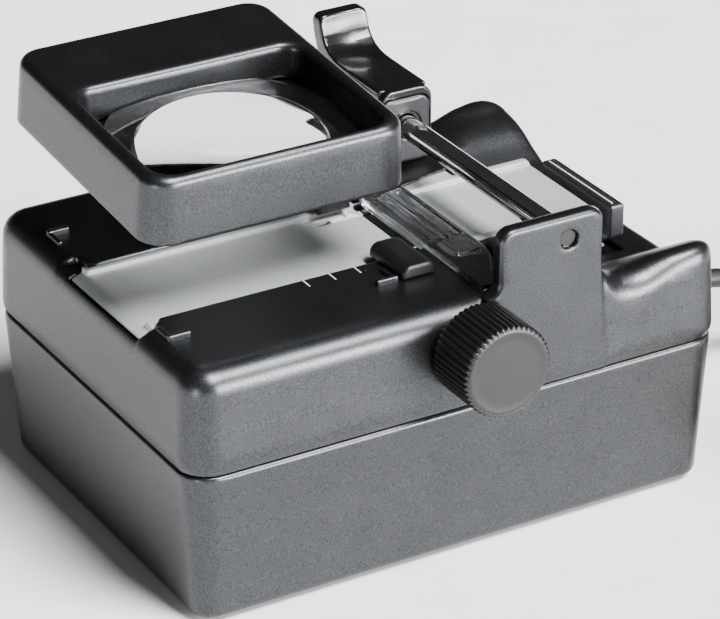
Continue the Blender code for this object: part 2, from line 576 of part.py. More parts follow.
def magnifier():
    rings = [magnifier_ring(0.6, 0, 9), magnifier_ring(0.0, 0.6, 9), magnifier_ring(1.0, MAG_H - 2.4, 9),
             magnifier_ring(1.8, MAG_H - 0.7, 9), magnifier_ring(3.4, MAG_H, 9)]
    frame = loft("magnifier_frame", rings, "housing_grey")
    cut(frame, loft("skirt_hollow", [magnifier_ring(2.8, -2, 8), magnifier_ring(3.6, MAG_H - 2.6, 8)]))
    window = [block_ring((-WINDOW_X, WINDOW_V0), (WINDOW_X, WINDOW_V1), 5, w) for w in (MAG_H - 6, MAG_H + 3)]
    cut(frame, loft("window", window))
    for x in (-POST_HALF_X - 4.6, POST_HALF_X + 0.6):
        lug = [(MAG_L - 2.0, 0.6)] + arc((MAG_PIN_V, MAG_PIN_W), 3.7, -70, 80, 6) + [(MAG_L - 2.0, 8.0)]
        unite(frame, prism("lug", lug, "x", x, x + 4.0))
    cut(frame, rod("bore", "x", (0, MAG_PIN_V, MAG_PIN_W), MAG_PIN_R + GAP, -20, 20, steps=14))
    leant(frame)
    seat_w = 8.4
    carrier = loft("lens_carrier", [magnifier_ring(4.3, w, 8) for w in (seat_w - 2.4, seat_w)], "black_gloss")
    cut(carrier, rod("sight_hole", "z", (0, LENS_V, 0), SIGHT_R, seat_w - 4, seat_w + 2, steps=40))
    leant(carrier)
    under = [(3.5, -1.5), (13.0, -1.0), (20.0, -0.3), (25.5, 0.4), (LENS_R, 0.6)]
    crown = [(LENS_R, 3.6), (28.0, 5.0), (21.0, 6.5), (13.0, 7.6), (3.5, 8.2)]
    lens = turned("magnifier_lens", [(r, seat_w + w) for r, w in under + crown], "z", (0, LENS_V, 0),
                  "lens_glass", 48)
    cut(lens, box("front_flat", (-40, -20, 0), (40, LENS_FLAT_V, 30)))
    leant(lens)
    leant(rod("magnifier_pin", "x", (0, MAG_PIN_V, MAG_PIN_W), MAG_PIN_R, -13.4, 13.4, "steel", 14))


def magnifier_post():
    """Leaning upright at the rear of the deck, with the fixed knuckle of the magnifier's hinge."""
    pin = pin_place() / MM
    y, z = pin.y + ORIGIN_Y, pin.z
    x0, x1 = MAG_X - POST_HALF_X, MAG_X + POST_HALF_X
    floor = DECK_Z + GAP
    outline = [(y - 15.5, floor), (y - 5.5, floor), (y + 3.9, z - 9.0)] + arc((y, z), 3.7, -10, 190, 8)
    outline += [(y - 4.2, z - 7.0)]
    post = prism("magnifier_post", outline, "x", x0, x1, "housing_grey")
    return cut(post, rod("bore", "x", (0, y, z), MAG_PIN_R + GAP, x0 - 2, x1 + 2, steps=14))


# Lighting

def lighting():
    axis = (0, FILM_Y, 32.0)
    holder = turned("lamp_holder", ((9.0, 40.0), (13.0, 40.0), (13.0, 30.0), (15.0, 30.0), (15.0, 22.0)), "x",
                    axis, "white_plastic", 24)
    cut(holder, rod("socket", "x", axis, 9.2, 10, 36, steps=24))
    unite(holder, box("stand", (24.0, FILM_Y - 10.0, FOOT_H + 2.8 + GAP), (38.0, FILM_Y + 10.0, 22.0)))
    turned("lamp", ((4.0, 33.0), (8.4, 31.0), (8.4, 14.0), (11.0, 8.0), (12.5, 0.0), (12.5, -32.0),
                    (10.0, -38.0), (4.0, -41.0)), "x", axis, "lens_glass", 24)
    reflector()
    box("terminal_block", (58.0, FILM_Y - 9.0, FOOT_H + 2.8 + GAP), (70.0, FILM_Y + 9.0, 17.0),
        "white_plastic")


def reflector():
    """Bent metal trough below the lamp."""
    y, thick = FILM_Y, 0.8
    floor = FOOT_H + 2.8 + GAP
    outside = [(y + 34.0, 44.0), (y + 24.0, floor + 4.0), (y + 18.0, floor), (y - 18.0, floor),
               (y - 24.0, floor + 4.0), (y - 34.0, 44.0)]
    inside = [(y - 34.0 + thick * 1.1, 44.0), (y - 24.0 + thick, floor + 4.3)]
    inside += [(y - 18.0 + 0.3, floor + thick), (y + 18.0 - 0.3, floor + thick)]
    inside += [(y + 24.0 - thick, floor + 4.3), (y + 34.0 - thick * 1.1, 44.0)]
    prism("lamp_reflector", outside + inside, "x", -62.0, 14.0, "reflector")


# Mains lead

WALL_X = HALF_X - SEAM_INSET - 0.2           # outside of the right wall above the relief
RELIEF_L = 23.4
LEAD_START_X = WALL_X + RELIEF_L + GAP
COIL_X, COIL_Y, COIL_R = 192.0, -36.0, 34.0  # centre of the coil and radius of its middle turns
COIL_PITCH, COIL_ROWS = 6.1, 4               # four turns side by side, in two layers
COIL_OUTER = COIL_R + COIL_PITCH * (COIL_ROWS - 1) / 2 + LEAD_R
COIL_INNER = COIL_R - COIL_PITCH * (COIL_ROWS - 1) / 2 - LEAD_R
COIL_Z0, COIL_H = 1.2, 12.1
JOIN_Y = COIL_Y + COIL_OUTER - LEAD_R        # the lead's line where it meets the outer turn
ENTRY_X = COIL_X - 23.6
TAIL_Y = COIL_Y - COIL_OUTER + LEAD_R
PLUG_L, PLUG_W, PLUG_T, PIN_GAP = 36.0, 35.3, 13.6, 18.6
PLUG_REAR_X = 148.0

LEAD_POINTS = [(LEAD_START_X, LEAD_Y, LEAD_Z), (118.0, LEAD_Y, 35.5), (127.0, -9.4, 33.4), (135.0, -7.4, 28.0),
               (141.0, -4.6, 20.6), (147.0, -1.0, 12.4), (153.5, 3.2, 6.6), (160.5, 6.2, 4.5),
               (ENTRY_X, JOIN_Y, COIL_Z0 + LEAD_R)]
TAIL_POINTS = [(ENTRY_X, TAIL_Y, 9.6), (163.0, TAIL_Y, 8.0), (156.0, TAIL_Y, 7.1),
               (PLUG_REAR_X + GAP, TAIL_Y, 7.0)]


def smooth_route(points, spacing):
    """Evenly spaced points on a Catmull-Rom curve through the route's own points."""
    ends = [points[0] * 2 - points[1]] + list(points) + [points[-1] * 2 - points[-2]]
    fine = []
    for a, b, c, d in zip(ends, ends[1:], ends[2:], ends[3:]):
        for i in range(16):
            t = i / 16
            fine.append(0.5 * ((2 * b) + (c - a) * t + (2 * a - 5 * b + 4 * c - d) * t * t
                               + (3 * b - a - 3 * c + d) * t ** 3))
    fine.append(points[-1].copy())
    route = [fine[0]]
    for p in fine[1:-1]:
        if (p - route[-1]).length >= spacing:
            route.append(p)
    return route + [fine[-1]]


def lead():
    relief = ((4.4, -5.0), (4.4, -GAP), (7.0, GAP), (7.0, 2.2), (5.4, 3.2), (3.9, RELIEF_L))
    turned("strain_relief", relief, "x", (WALL_X, LEAD_Y, LEAD_Z), "rubber", 20)
    tube("lead_cord", LEAD_POINTS)
    tube("lead_tail", TAIL_POINTS)
    coil()
    coil_tie()
    plug()


def tube(name, points):
    curve = bpy.data.curves.new(name, "CURVE")
    curve.dimensions = "3D"
    curve.bevel_depth = LEAD_R * MM
    curve.bevel_resolution = 2
    curve.use_fill_caps = True
    route = smooth_route([point(*p) for p in points], 2.1 * LEAD_R * 2 * MM)
    spline = curve.splines.new("POLY")
    spline.points.add(len(route) - 1)
    for spot, p in zip(spline.points, route):
        spot.co = (*p, 1.0)
    curve.materials.append(material("cable_black"))
    bpy.context.scene.collection.objects.link(bpy.data.objects.new(name, curve))


def coil():
    section = rounded((COIL_INNER, COIL_Z0), (COIL_OUTER, COIL_Z0 + COIL_H), (2.8,) * 4, 2)
    bm = bmesh.new()
    steps = 36
    loops = []
    for i in range(steps):
        a = 2 * math.pi * i / steps
        loops.append([bm.verts.new(point(COIL_X + r * math.cos(a), COIL_Y + r * math.sin(a), z))
                      for r, z in section])
    for i in range(steps):
        here, following = loops[i], loops[(i + 1) % steps]
        for j in range(len(section)):
            k = (j + 1) % len(section)
            bm.faces.new((here[j], here[k], following[k], following[j]))
    bmesh.ops.recalc_face_normals(bm, faces=bm.faces)
    mesh = bpy.data.meshes.new("lead_coil")
    bm.to_mesh(mesh)
    bm.free()
    add_object("lead_coil", mesh, "cable_black")


def coil_tie():
    """Band round the bundle of turns, on the coil's far side."""
    slack, band, half = 0.5, 0.6, 2.5
    inner, outer = COIL_X + COIL_INNER - slack, COIL_X + COIL_OUTER + slack
    low, high = COIL_Z0 - slack, COIL_Z0 + COIL_H + slack
    tie = box("lead_tie", (inner - band, COIL_Y - half, low - band), (outer + band, COIL_Y + half, high + band),
              "black_matt")
    return cut(tie, box("way", (inner, COIL_Y - half - 1, low), (outer, COIL_Y + half + 1, high)))


def plug():
    """Flat two-pin plug lying beside the coil."""
    tip = PLUG_REAR_X - PLUG_L
    middle = 0.2 + PLUG_T / 2
    plan = [(PLUG_REAR_X, -6.0), (PLUG_REAR_X, 6.0), (PLUG_REAR_X - 17.0, PLUG_W / 2), (tip + 2.0, PLUG_W / 2),
            (tip, PLUG_W / 2 - 2.0), (tip, 2.0 - PLUG_W / 2), (tip + 2.0, -PLUG_W / 2),
            (PLUG_REAR_X - 17.0, -PLUG_W / 2)]
    body = prism("mains_plug", [(x, TAIL_Y + y) for x, y in plan], "z", 0.2, 0.2 + PLUG_T, "black_matt")
    for name, side in (("plug_pin_left", -1), ("plug_pin_right", 1)):
        at = (0, TAIL_Y + side * PIN_GAP / 2, middle)
        cut(body, rod("bore", "x", at, 2.3, tip - 1, tip + 8, steps=12))
        rod(name, "x", at, 2.0, tip - 19.0, tip + 7.7, "brass", 12)
    return body


def build():
    clear_scene()
    base_shell()
    top_shell()
    feet_and_screws()
    viewing_bed()
    exit_bed()
    fixed_blade()
    end_stop()
    film_guides()
    blade_guard()
    transport()
    shaft_bracket()
    guide_rod()
    cutter()
    flap()
    magnifier()
    magnifier_post()
    lighting()
    lead()


def shade_round_pieces():
    for obj in bpy.context.scene.objects:
        if obj.type == "MESH":
            obj.data.shade_smooth()
            obj.data.set_sharp_from_angle(angle=math.radians(35))


build()
shade_round_pieces()
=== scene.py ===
import json
import math

import bmesh
import bpy
import numpy as np
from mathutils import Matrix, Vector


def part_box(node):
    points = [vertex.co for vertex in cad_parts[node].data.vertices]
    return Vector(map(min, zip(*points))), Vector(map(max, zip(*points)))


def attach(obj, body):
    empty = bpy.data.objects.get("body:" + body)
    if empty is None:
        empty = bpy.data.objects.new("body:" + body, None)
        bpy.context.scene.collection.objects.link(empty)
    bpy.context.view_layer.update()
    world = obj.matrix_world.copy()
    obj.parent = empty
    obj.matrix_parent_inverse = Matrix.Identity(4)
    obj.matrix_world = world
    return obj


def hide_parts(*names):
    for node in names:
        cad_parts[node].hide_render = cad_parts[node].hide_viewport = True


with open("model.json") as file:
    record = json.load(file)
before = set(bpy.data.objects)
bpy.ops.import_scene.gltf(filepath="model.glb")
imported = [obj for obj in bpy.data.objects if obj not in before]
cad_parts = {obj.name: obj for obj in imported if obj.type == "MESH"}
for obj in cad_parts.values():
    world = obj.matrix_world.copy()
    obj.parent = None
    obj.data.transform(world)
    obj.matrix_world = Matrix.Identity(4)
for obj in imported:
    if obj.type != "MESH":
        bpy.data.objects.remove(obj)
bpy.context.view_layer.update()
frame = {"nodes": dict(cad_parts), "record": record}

import openvdb
from mathutils import Matrix, Vector

# Looks of an illuminated 35 mm film cutter with a hinged magnifier. Lengths are millimetres from
# the middle of the housing (x to the film's exit, y to the back, z up), as in the CAD source, and
# place() turns them into the frame's metres. Moulded pieces are built as distance fields, which
# give them the blended edges and fillets of a real moulding, and are then meshed.

MM = 0.001
ACROSS = {"x": "yzx", "y": "xzy", "z": "xyz"}        # the two axes across each axis, then itself
SHELL_LO, SHELL_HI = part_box("top_shell")
SHIFT_Y = (SHELL_LO[1] + SHELL_HI[1]) / 2 / MM       # the housing's middle, from the frame's origin
GAP = 0.3

# Housing
HALF_X, HALF_Y, CORNER_R = 87.75, 63.85, 10.0
FOOT_H, SEAM_Z, DECK_Z, DECK_UNDER = 1.5, 48.8, 80.0, 77.0
WALL, SEAM_INSET, BASE_DRAFT, TOP_DRAFT, DECK_FILLET = 2.6, 0.5, 2.9, 1.1, 7.0
SCREW_SPOTS = [(x, y) for x in (-73.0, 73.0) for y in (-49.0, 49.0)]
FOOT_SPOTS = {"front_left": (-60.0, -46.0), "front_right": (60.0, -46.0),
              "rear_left": (-60.0, 46.0), "rear_right": (60.0, 46.0)}
RIM_DIP_X = (43.0, 46.9, 49.2, 51.2, 53.5, 57.5, 61.0, 64.5, 70.0, 76.0, 84.0)
RIM_DIP_Z = (80.0, 79.2, 76.9, 75.5, 74.75, 74.6, 75.2, 76.3, 78.2, 79.4, 79.9)
SCOOP = [(64.5, 82.0), (62.0, 80.5), (57.0, 78.5), (53.0, 76.4), (47.0, 74.6), (43.0, 72.8), (38.0, 69.6),
         (32.5, 66.8), (26.0, 64.9), (-15.0, 64.3), (-33.0, 64.6), (-38.0, 66.8), (-43.5, 70.6),
         (-48.0, 73.4), (-53.0, 76.2), (-57.0, 78.4), (-62.0, 80.5), (-64.5, 82.0), (-64.5, 96.0),
         (64.5, 96.0)]
RIB_X, RIB_Y = (-81.0, -8.3), (-39.4, 37.6)
MARKS_X = (-31.4, -23.0, -14.8)

# Film path
FILM_Y, FILM_HALF = -6.55, 17.85
FRONT, REAR = FILM_Y - FILM_HALF, FILM_Y + FILM_HALF
BED_Z, LEDGE_Z, BED_T, LEDGE_W, END_LEDGE_W = 78.1, 79.6, 2.1, 2.4, 3.6
VIEW_X0, VIEW_X1, NOTCH_X, CUT_X, EXIT_X0, EXIT_X1 = -84.5, 6.4, -79.0, 22.8, 24.0, 67.5
PERFORATION_Y, TOOTH_SLOT_X, TOOTH_SLOT_HALF = 14.1, 10.0, 1.5
SHAFT_X, SHAFT_Z, SHAFT_R = 1.4, 68.0, 2.5
KNOB_R, KNOB_L, KNOB_BACK_Y, FLUTES, FLUTE_DEPTH = 13.95, 18.0, -64.6, 48, 0.62

# Cutter and its towers
ROD_X, ROD_Z, ROD_R = 32.8, 93.1, 3.45
CARRIAGE = (24.0, 41.6, 81.5, 103.5)                 # x and z limits
CARRIAGE_FRONT_Y, CARRIAGE_BACK_Y, CUT_STROKE = 25.0, 55.0, 58.0
LEVER_BACK_Y, LEVER_TOP_Z = 68.0, 116.8
TOWER_X0, TOWER_X1, TOWER_TOP_Z, TOWER_T = 10.0, 44.2, 100.5, 5.3

# Magnifier, in its own x, v (from the front edge) and w (up), before its lean
MAG_X, MAG_FRONT_Y, MAG_FRONT_Z = -40.6, -31.4, 104.0
MAG_W, MAG_L, MAG_H, MAG_LEAN = 83.3, 89.8, 20.3, math.radians(4.5)
MAG_PIN_V, MAG_PIN_W, MAG_PIN_R, MAG_LUG_R, POST_HALF_X = 94.3, 3.0, 1.6, 3.7, 9.0
WINDOW_X, WINDOW_V0, WINDOW_V1 = 35.5, 5.0, 58.0
SEAT_W, SIGHT_R, LENS_V = 8.4, 26.3, 30.0
LENS_R, LENS_EDGE, CROWN_H, BELLY_H = 36.8, 2.6, 5.0, 0.4

# Pressure flap
FLAP_X0, FLAP_X1, FLAP_FRONT_Y = 8.0, 22.4, -57.6
FLAP_PIN_Y, FLAP_PIN_Z, FLAP_PIN_R, KNUCKLE_R, EAR_T = 22.0, 83.4, 1.2, 2.8, 2.8

# Mains lead: its route from the strain relief, the coil and the plug
LEAD_R, LEAD_Y, LEAD_Z, LEAD_START_X = 3.0, -10.0, 35.7, 110.75
WALL_X, RELIEF_L = 87.05, 23.4
COIL_X, COIL_Y, COIL_R, COIL_PITCH, COIL_ROWS, COIL_TURNS = 192.0, -36.0, 34.0, 6.1, 4, 7.5
COIL_OUT = COIL_R + COIL_PITCH * (COIL_ROWS - 1) / 2
LOW_LAYER_Z, HIGH_LAYER_Z, ENTRY_X, PLUG_REAR_X = 4.2, 10.3, 168.4, 148.0
JOIN_Y, TAIL_Y = COIL_Y + COIL_OUT, COIL_Y - COIL_OUT
PLUG_L, PLUG_W, PLUG_T, PLUG_Z = 36.0, 35.3, 13.6, 0.2


def place(x, y, z):
    return Vector((x * MM, (y + SHIFT_Y) * MM, z * MM))


def magnifier_place():
    """From the magnifier's own axes to the frame."""
    return Matrix.Translation(place(MAG_X, MAG_FRONT_Y, MAG_FRONT_Z)) @ Matrix.Rotation(MAG_LEAN, 4, "X")


# Camera

def add_camera():
    """The main view."""
    turn, tilt, roll = (math.radians(a) for a in (-30.031, 27.242, -0.208))
    forward = Vector((-math.sin(turn) * math.cos(tilt), math.cos(turn) * math.cos(tilt), -math.sin(tilt)))
    level = Vector((math.cos(turn), math.sin(turn), 0))
    upright = level.cross(forward)
    right = level * math.cos(roll) + upright * math.sin(roll)
    up = upright * math.cos(roll) - level * math.sin(roll)
    camera = bpy.data.objects.new("camera", bpy.data.cameras.new("camera"))
    camera.data.lens, camera.data.sensor_width = 183.275, 36.0
    camera.data.clip_start, camera.data.clip_end = 0.01, 20.0
    axes = Matrix((right, up, -forward)).transposed().to_4x4()
    camera.matrix_world = Matrix.Translation((-0.478013, -0.822694, 0.544548)) @ axes
    bpy.context.scene.collection.objects.link(camera)
    bpy.context.scene.camera = camera


# Materials

def new_finish(name):
    """An empty Principled material, with a small tool for its noise nodes."""
    paint = bpy.data.materials.new(name)
    paint.use_nodes = True
    tree = paint.node_tree
    shader = tree.nodes["Principled BSDF"]
    where = tree.nodes.new("ShaderNodeTexCoord").outputs["Object"]
    return paint, tree, shader, where


def noise(tree, where, scale, detail=3.0, stretch=None):
    """Noise with features about 1 / scale metres across, drawn out along an axis by stretch."""
    if stretch:
        mapping = tree.nodes.new("ShaderNodeMapping")
        mapping.inputs["Scale"].default_value = stretch
        tree.links.new(where, mapping.inputs["Vector"])
        where = mapping.outputs["Vector"]
    node = tree.nodes.new("ShaderNodeTexNoise")
    node.inputs["Scale"].default_value = scale
    node.inputs["Detail"].default_value = detail
    tree.links.new(where, node.inputs["Vector"])
    return node.outputs["Fac"]


def ramp(tree, factor, *stops):
    """Colour ramp: each stop is its position and a colour or a grey."""
    node = tree.nodes.new("ShaderNodeValToRGB")
    elements = node.color_ramp.elements
    while len(elements) < len(stops):
        elements.new(0.5)
    for element, (position, colour) in zip(elements, stops):
        element.position = position
        element.color = (*colour, 1.0) if isinstance(colour, tuple) else (colour, colour, colour, 1.0)
    tree.links.new(factor, node.inputs["Fac"])
    return node.outputs["Color"]


def bump(tree, shader, height, distance):
    node = tree.nodes.new("ShaderNodeBump")
    node.inputs["Distance"].default_value = distance
    node.inputs["Strength"].default_value = 1.0
    tree.links.new(height, node.inputs["Height"])
    tree.links.new(node.outputs["Normal"], shader.inputs["Normal"])


def moulded(name, dark, light, rough, metallic=0.0, grain=2600.0, depth=0.00002, patch=90.0, stretch=None,
            **sockets):
    """Plastic or metal with a fine grain, slow patches in its gloss, and faint rubbed places."""
    grain_share = 0.9
    paint, tree, shader, where = new_finish(name)
    fine = noise(tree, where, grain, stretch=stretch)
    slow = noise(tree, where, patch, detail=5.0)
    mixed = tree.nodes.new("ShaderNodeMath")
    mixed.operation = "MULTIPLY_ADD"
    mixed.inputs[1].default_value = grain_share
    tree.links.new(fine, mixed.inputs[0])
    softer = tree.nodes.new("ShaderNodeMath")
    softer.operation = "MULTIPLY"
    softer.inputs[1].default_value = 1 - grain_share
    tree.links.new(slow, softer.inputs[0])
    tree.links.new(softer.outputs[0], mixed.inputs[2])
    colour = ramp(tree, mixed.outputs[0], (0.34, dark), (0.66, light))
    tree.links.new(colour, shader.inputs["Base Color"])
    tree.links.new(ramp(tree, slow, (0.3, rough[0]), (0.7, rough[1])), shader.inputs["Roughness"])
    shader.inputs["Metallic"].default_value = metallic
    for socket, value in sockets.items():
        shader.inputs[socket.replace("_", " ")].default_value = value
    bump(tree, shader, fine, depth)
    return paint


def make_finishes():
    return {
        "housing": moulded("housing", (0.033, 0.0345, 0.037), (0.076, 0.079, 0.083), (0.32, 0.36),
                           metallic=0.95, grain=2600, depth=0.000014),
        "black_matt": moulded("black_matt", (0.0015, 0.0015, 0.0016), (0.0048, 0.0048, 0.005), (0.36, 0.44),
                              grain=1900, depth=0.00003),
        "plug_black": moulded("plug_black", (0.005, 0.005, 0.005), (0.013, 0.013, 0.0135), (0.42, 0.52),
                              grain=1500, depth=0.00003),
        "black_gloss": moulded("black_gloss", (0.002, 0.002, 0.0022), (0.0045, 0.0045, 0.005), (0.20, 0.28),
                               grain=1300, depth=0.000008, Coat_Weight=0.25, Coat_Roughness=0.12),
        "carriage_grey": moulded("carriage_grey", (0.036, 0.0365, 0.039), (0.066, 0.067, 0.071), (0.32, 0.38),
                                 metallic=0.9, grain=2300, depth=0.000025),
        "stop_grey": moulded("stop_grey", (0.045, 0.045, 0.049), (0.082, 0.082, 0.088), (0.34, 0.40),
                             metallic=0.8, grain=2300, depth=0.000025),
        "opal": moulded("opal", (0.345, 0.362, 0.364), (0.37, 0.387, 0.389), (0.20, 0.26), grain=700,
                        depth=0.000004, Subsurface_Weight=0.35, Subsurface_Scale=0.002),
        "white_plastic": moulded("white_plastic", (0.68, 0.68, 0.65), (0.80, 0.80, 0.77), (0.30, 0.42),
                                 grain=1600, depth=0.00001),
        "mark_white": moulded("mark_white", (0.42, 0.42, 0.42), (0.55, 0.55, 0.55), (0.45, 0.60),
                              grain=3000, depth=0.000006),
        "clear_acrylic": moulded("clear_acrylic", (0.84, 0.87, 0.89), (0.93, 0.95, 0.96), (0.03, 0.10),
                                 grain=500, depth=0.000006, Transmission_Weight=1.0, IOR=1.49),
        "lens_glass": moulded("lens_glass", (0.955, 0.97, 0.965), (0.985, 0.99, 0.988), (0.0, 0.012),
                              grain=300, depth=0.0000003, Transmission_Weight=1.0, IOR=1.52),
        "chrome": moulded("chrome", (0.56, 0.54, 0.50), (0.70, 0.68, 0.64), (0.07, 0.14), metallic=1.0,
                          grain=1500, depth=0.000003, stretch=(1, 0.04, 1)),
        "steel": moulded("steel", (0.44, 0.44, 0.44), (0.60, 0.60, 0.60), (0.22, 0.34), metallic=1.0,
                         grain=2600, depth=0.000006, stretch=(1, 0.08, 1)),
        "brass": moulded("brass", (0.52, 0.36, 0.13), (0.68, 0.49, 0.20), (0.22, 0.34), metallic=1.0,
                         grain=2000, depth=0.000006),
        "reflector": moulded("reflector", (0.66, 0.66, 0.66), (0.80, 0.80, 0.80), (0.18, 0.30),
                             metallic=1.0, grain=900, depth=0.000008),
        "rubber": moulded("rubber", (0.005, 0.005, 0.005), (0.013, 0.013, 0.013), (0.55, 0.70), grain=1800,
                          depth=0.00004),
        "cable_black": moulded("cable_black", (0.004, 0.004, 0.004), (0.010, 0.010, 0.0105), (0.38, 0.50),
                               grain=1200, depth=0.00002),
    }


# Pieces

BODY_OF = {node: body for body, nodes in frame["record"]["behaviour"]["bodies"].items() for node in nodes}


def settle(obj, paint, *nodes, body=None, slot=None):
    """Paint a piece and make it ride with the CAD nodes that it stands for."""
    obj.data.materials.clear()
    obj.data.materials.append(FINISHES[paint])
    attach(obj, body or BODY_OF[nodes[0]])
    if nodes:
        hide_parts(*nodes)
    return obj


def arc(centre, radius, start, end, points):
    """Points of an arc, its angles in degrees."""
    return [(centre[0] + radius * math.cos(a), centre[1] + radius * math.sin(a))
            for a in np.radians(np.linspace(start, end, points)).tolist()]


def ring_faces(rings, steps):
    """Faces that join rings of points, with a cap on each end."""
    faces = []
    for ring in range(rings - 1):
        for i in range(steps):
            j = (i + 1) % steps
            a, b = ring * steps, (ring + 1) * steps
            faces.append((a + i, a + j, b + j, b + i))
    faces.append(tuple(range(steps - 1, -1, -1)))
    faces.append(tuple(range((rings - 1) * steps, rings * steps)))
    return faces


def mesh_object(name, vertices, faces):
    mesh = bpy.data.meshes.new(name)
    mesh.from_pydata([tuple(v) for v in vertices], [], faces)
    mesh.update()
    obj = bpy.data.objects.new(name, mesh)
    bpy.context.scene.collection.objects.link(obj)
    return obj


def lathe(name, profile, axis, centre, steps=96, ripple=None, smooth=35):
    """Solid of revolution round x, y or z: profile is (radius, place along the axis) from end to end.

    ripple(radius, along, angle) gives a new radius, for flutes.
    """
    vertices = []
    for radius, along in profile:
        for i in range(steps):
            angle = 2 * math.pi * i / steps
            r = ripple(radius, along, angle) if ripple else radius
            a, b = r * math.cos(angle), r * math.sin(angle)
            spot = {"x": (along, a, b), "y": (a, along, b), "z": (a, b, along)}[axis]
            vertices.append(place(*(s + c for s, c in zip(spot, centre))))
    obj = mesh_object(name, vertices, ring_faces(len(profile), steps))
    bm = bmesh.new()
    bm.from_mesh(obj.data)
    bmesh.ops.recalc_face_normals(bm, faces=bm.faces)
    bm.to_mesh(obj.data)
    bm.free()
    obj.data.shade_smooth()
    obj.data.set_sharp_from_angle(angle=math.radians(smooth))
    return obj


# Distance fields: negative inside a piece, in millimetres

class Field:
    """The three axes of a grid round a piece."""

    def __init__(self, lo, hi, step):
        self.lo, self.step = np.array(lo, np.float32), step
        lines = [np.arange(a, b + step, step, dtype=np.float32) for a, b in zip(lo, hi)]
        self.x, self.y, self.z = np.meshgrid(*lines, indexing="ij", sparse=True)


def join(a, b, k):
    """Union with a fillet about k wide."""
    h = np.maximum(k - np.abs(a - b), 0) / k
    return np.minimum(a, b) - h * h * k / 4


def carve(a, b, k):
    """a with b taken away, and the edge between them rounded."""
    return -join(-a, b, k)


def meet(a, b, r):
    """Intersection whose edge has the radius r."""
    return np.minimum(np.maximum(a, b) + r, 0) + np.hypot(np.maximum(a + r, 0), np.maximum(b + r, 0)) - r


def plan(u, v, lo, hi, r):
    """Rounded rectangle in two of the axes."""
    a = np.abs(u - (lo[0] + hi[0]) / 2) - (hi[0] - lo[0]) / 2 + r
    b = np.abs(v - (lo[1] + hi[1]) / 2) - (hi[1] - lo[1]) / 2 + r
    return np.minimum(np.maximum(a, b), 0) + np.hypot(np.maximum(a, 0), np.maximum(b, 0)) - r


def block(g, lo, hi, r=0.0, edge=0.0):
    """Upright block: r rounds its vertical corners, edge its top and bottom."""
    slab = np.abs(g.z - (lo[2] + hi[2]) / 2) - (hi[2] - lo[2]) / 2
    return meet(plan(g.x, g.y, lo, hi, max(r, 0.01)), slab, max(edge, 0.01))


def outline_distance(u, v, outline):
    """Distance from a closed outline of straight lines, in two of the axes."""
    nearest, inside = None, False
    for (ax, ay), (bx, by) in zip(outline, outline[1:] + outline[:1]):
        ex, ey, pu, pv = bx - ax, by - ay, u - ax, v - ay
        along = np.clip((pu * ex + pv * ey) / (ex * ex + ey * ey), 0, 1)
        square = (pu - ex * along) ** 2 + (pv - ey * along) ** 2
        nearest = square if nearest is None else np.minimum(nearest, square)
        if ay != by:
            inside = inside ^ (((ay > v) != (by > v)) & (pu < ex * pv / ey))
    return np.sqrt(nearest) * np.where(inside, -1, 1)


def prism(g, outline, axis, lo, hi, edge=0.01):
    """An outline in the other two axes, drawn out along one, with round ends."""
    u, v, w = (getattr(g, a) for a in ACROSS[axis])
    return meet(outline_distance(u, v, outline), np.abs(w - (lo + hi) / 2) - (hi - lo) / 2, edge)


def rod(g, axis, centre, radius, lo, hi, edge=0.01):
    """A round bar along one axis; centre is in the other two."""
    u, v, w = (getattr(g, a) for a in ACROSS[axis])
    ends = np.abs(w - (lo + hi) / 2) - (hi - lo) / 2
    return meet(np.hypot(u - centre[0], v - centre[1]) - radius, ends, edge)


def cut_box(g, shape, lo, hi, k=0.0):
    """Take a box away from a shape, with rounded edges where k is given."""
    box = block(g, lo, hi)
    return carve(shape, box, k) if k else np.maximum(shape, -box)


def sample(values, spots):
    """Values of the grid between its points."""
    top = np.array(values.shape) - 2
    cell = np.clip(np.floor(spots).astype(int), 0, top)
    part = np.clip(spots - cell, 0, 1)
    total = 0
    for corner in np.ndindex(2, 2, 2):
        weight = np.prod(np.where(corner, part, 1 - part), axis=1)
        total = total + weight * values[tuple((cell + corner).T)]
    return total


def solid(name, g, distance, matrix=None, adapt=0.03):
    """Mesh a field, with normals from its slope so that curved faces shade smoothly."""
    band = 3 * g.step
    values = np.ascontiguousarray(np.clip(distance, -band, band), dtype=np.float32)
    grid = openvdb.FloatGrid(band)
    grid.copyFromArray(values)
    spots, triangles, quads = grid.convertToPolygons(0.0, adapt)
    slopes = np.stack([sample(values, spots + e) - sample(values, spots - e)
                       for e in 0.7 * np.eye(3)], axis=1)
    slopes /= np.maximum(np.linalg.norm(slopes, axis=1, keepdims=True), 1e-9)
    local = spots * g.step + g.lo
    if matrix is None:
        turn, world = np.eye(3), (local + (0, SHIFT_Y, 0)) * MM
    else:
        turn = np.array(matrix.to_3x3())
        world = local * MM @ turn.T + np.array(matrix.translation)
    faces = [tuple(f) for f in triangles.tolist()] + [tuple(f) for f in quads.tolist()]
    normals = slopes @ turn.T
    first = np.array([f[:3] for f in faces[:4000]])      # enough faces to tell which way they all turn
    a, b, c = (world[first[:, i]] for i in range(3))
    if np.sum(np.cross(b - a, c - a) * normals[first[:, 0]]) < 0:
        faces = [f[::-1] for f in faces]
    obj = mesh_object(name, world, faces)
    obj.data.shade_smooth()
    obj.data.normals_split_custom_set_from_vertices([tuple(n) for n in normals])
    return obj


# Housing

def housing_plan(g, inset):
    """The housing's rounded rectangle, seen from above and drawn in by inset."""
    flat_x = np.abs(g.x) - (HALF_X - CORNER_R)
    flat_y = np.abs(g.y) - (HALF_Y - CORNER_R)
    corner = np.hypot(np.maximum(flat_x, 0), np.maximum(flat_y, 0))
    return corner + np.minimum(np.maximum(flat_x, flat_y), 0) - CORNER_R + inset


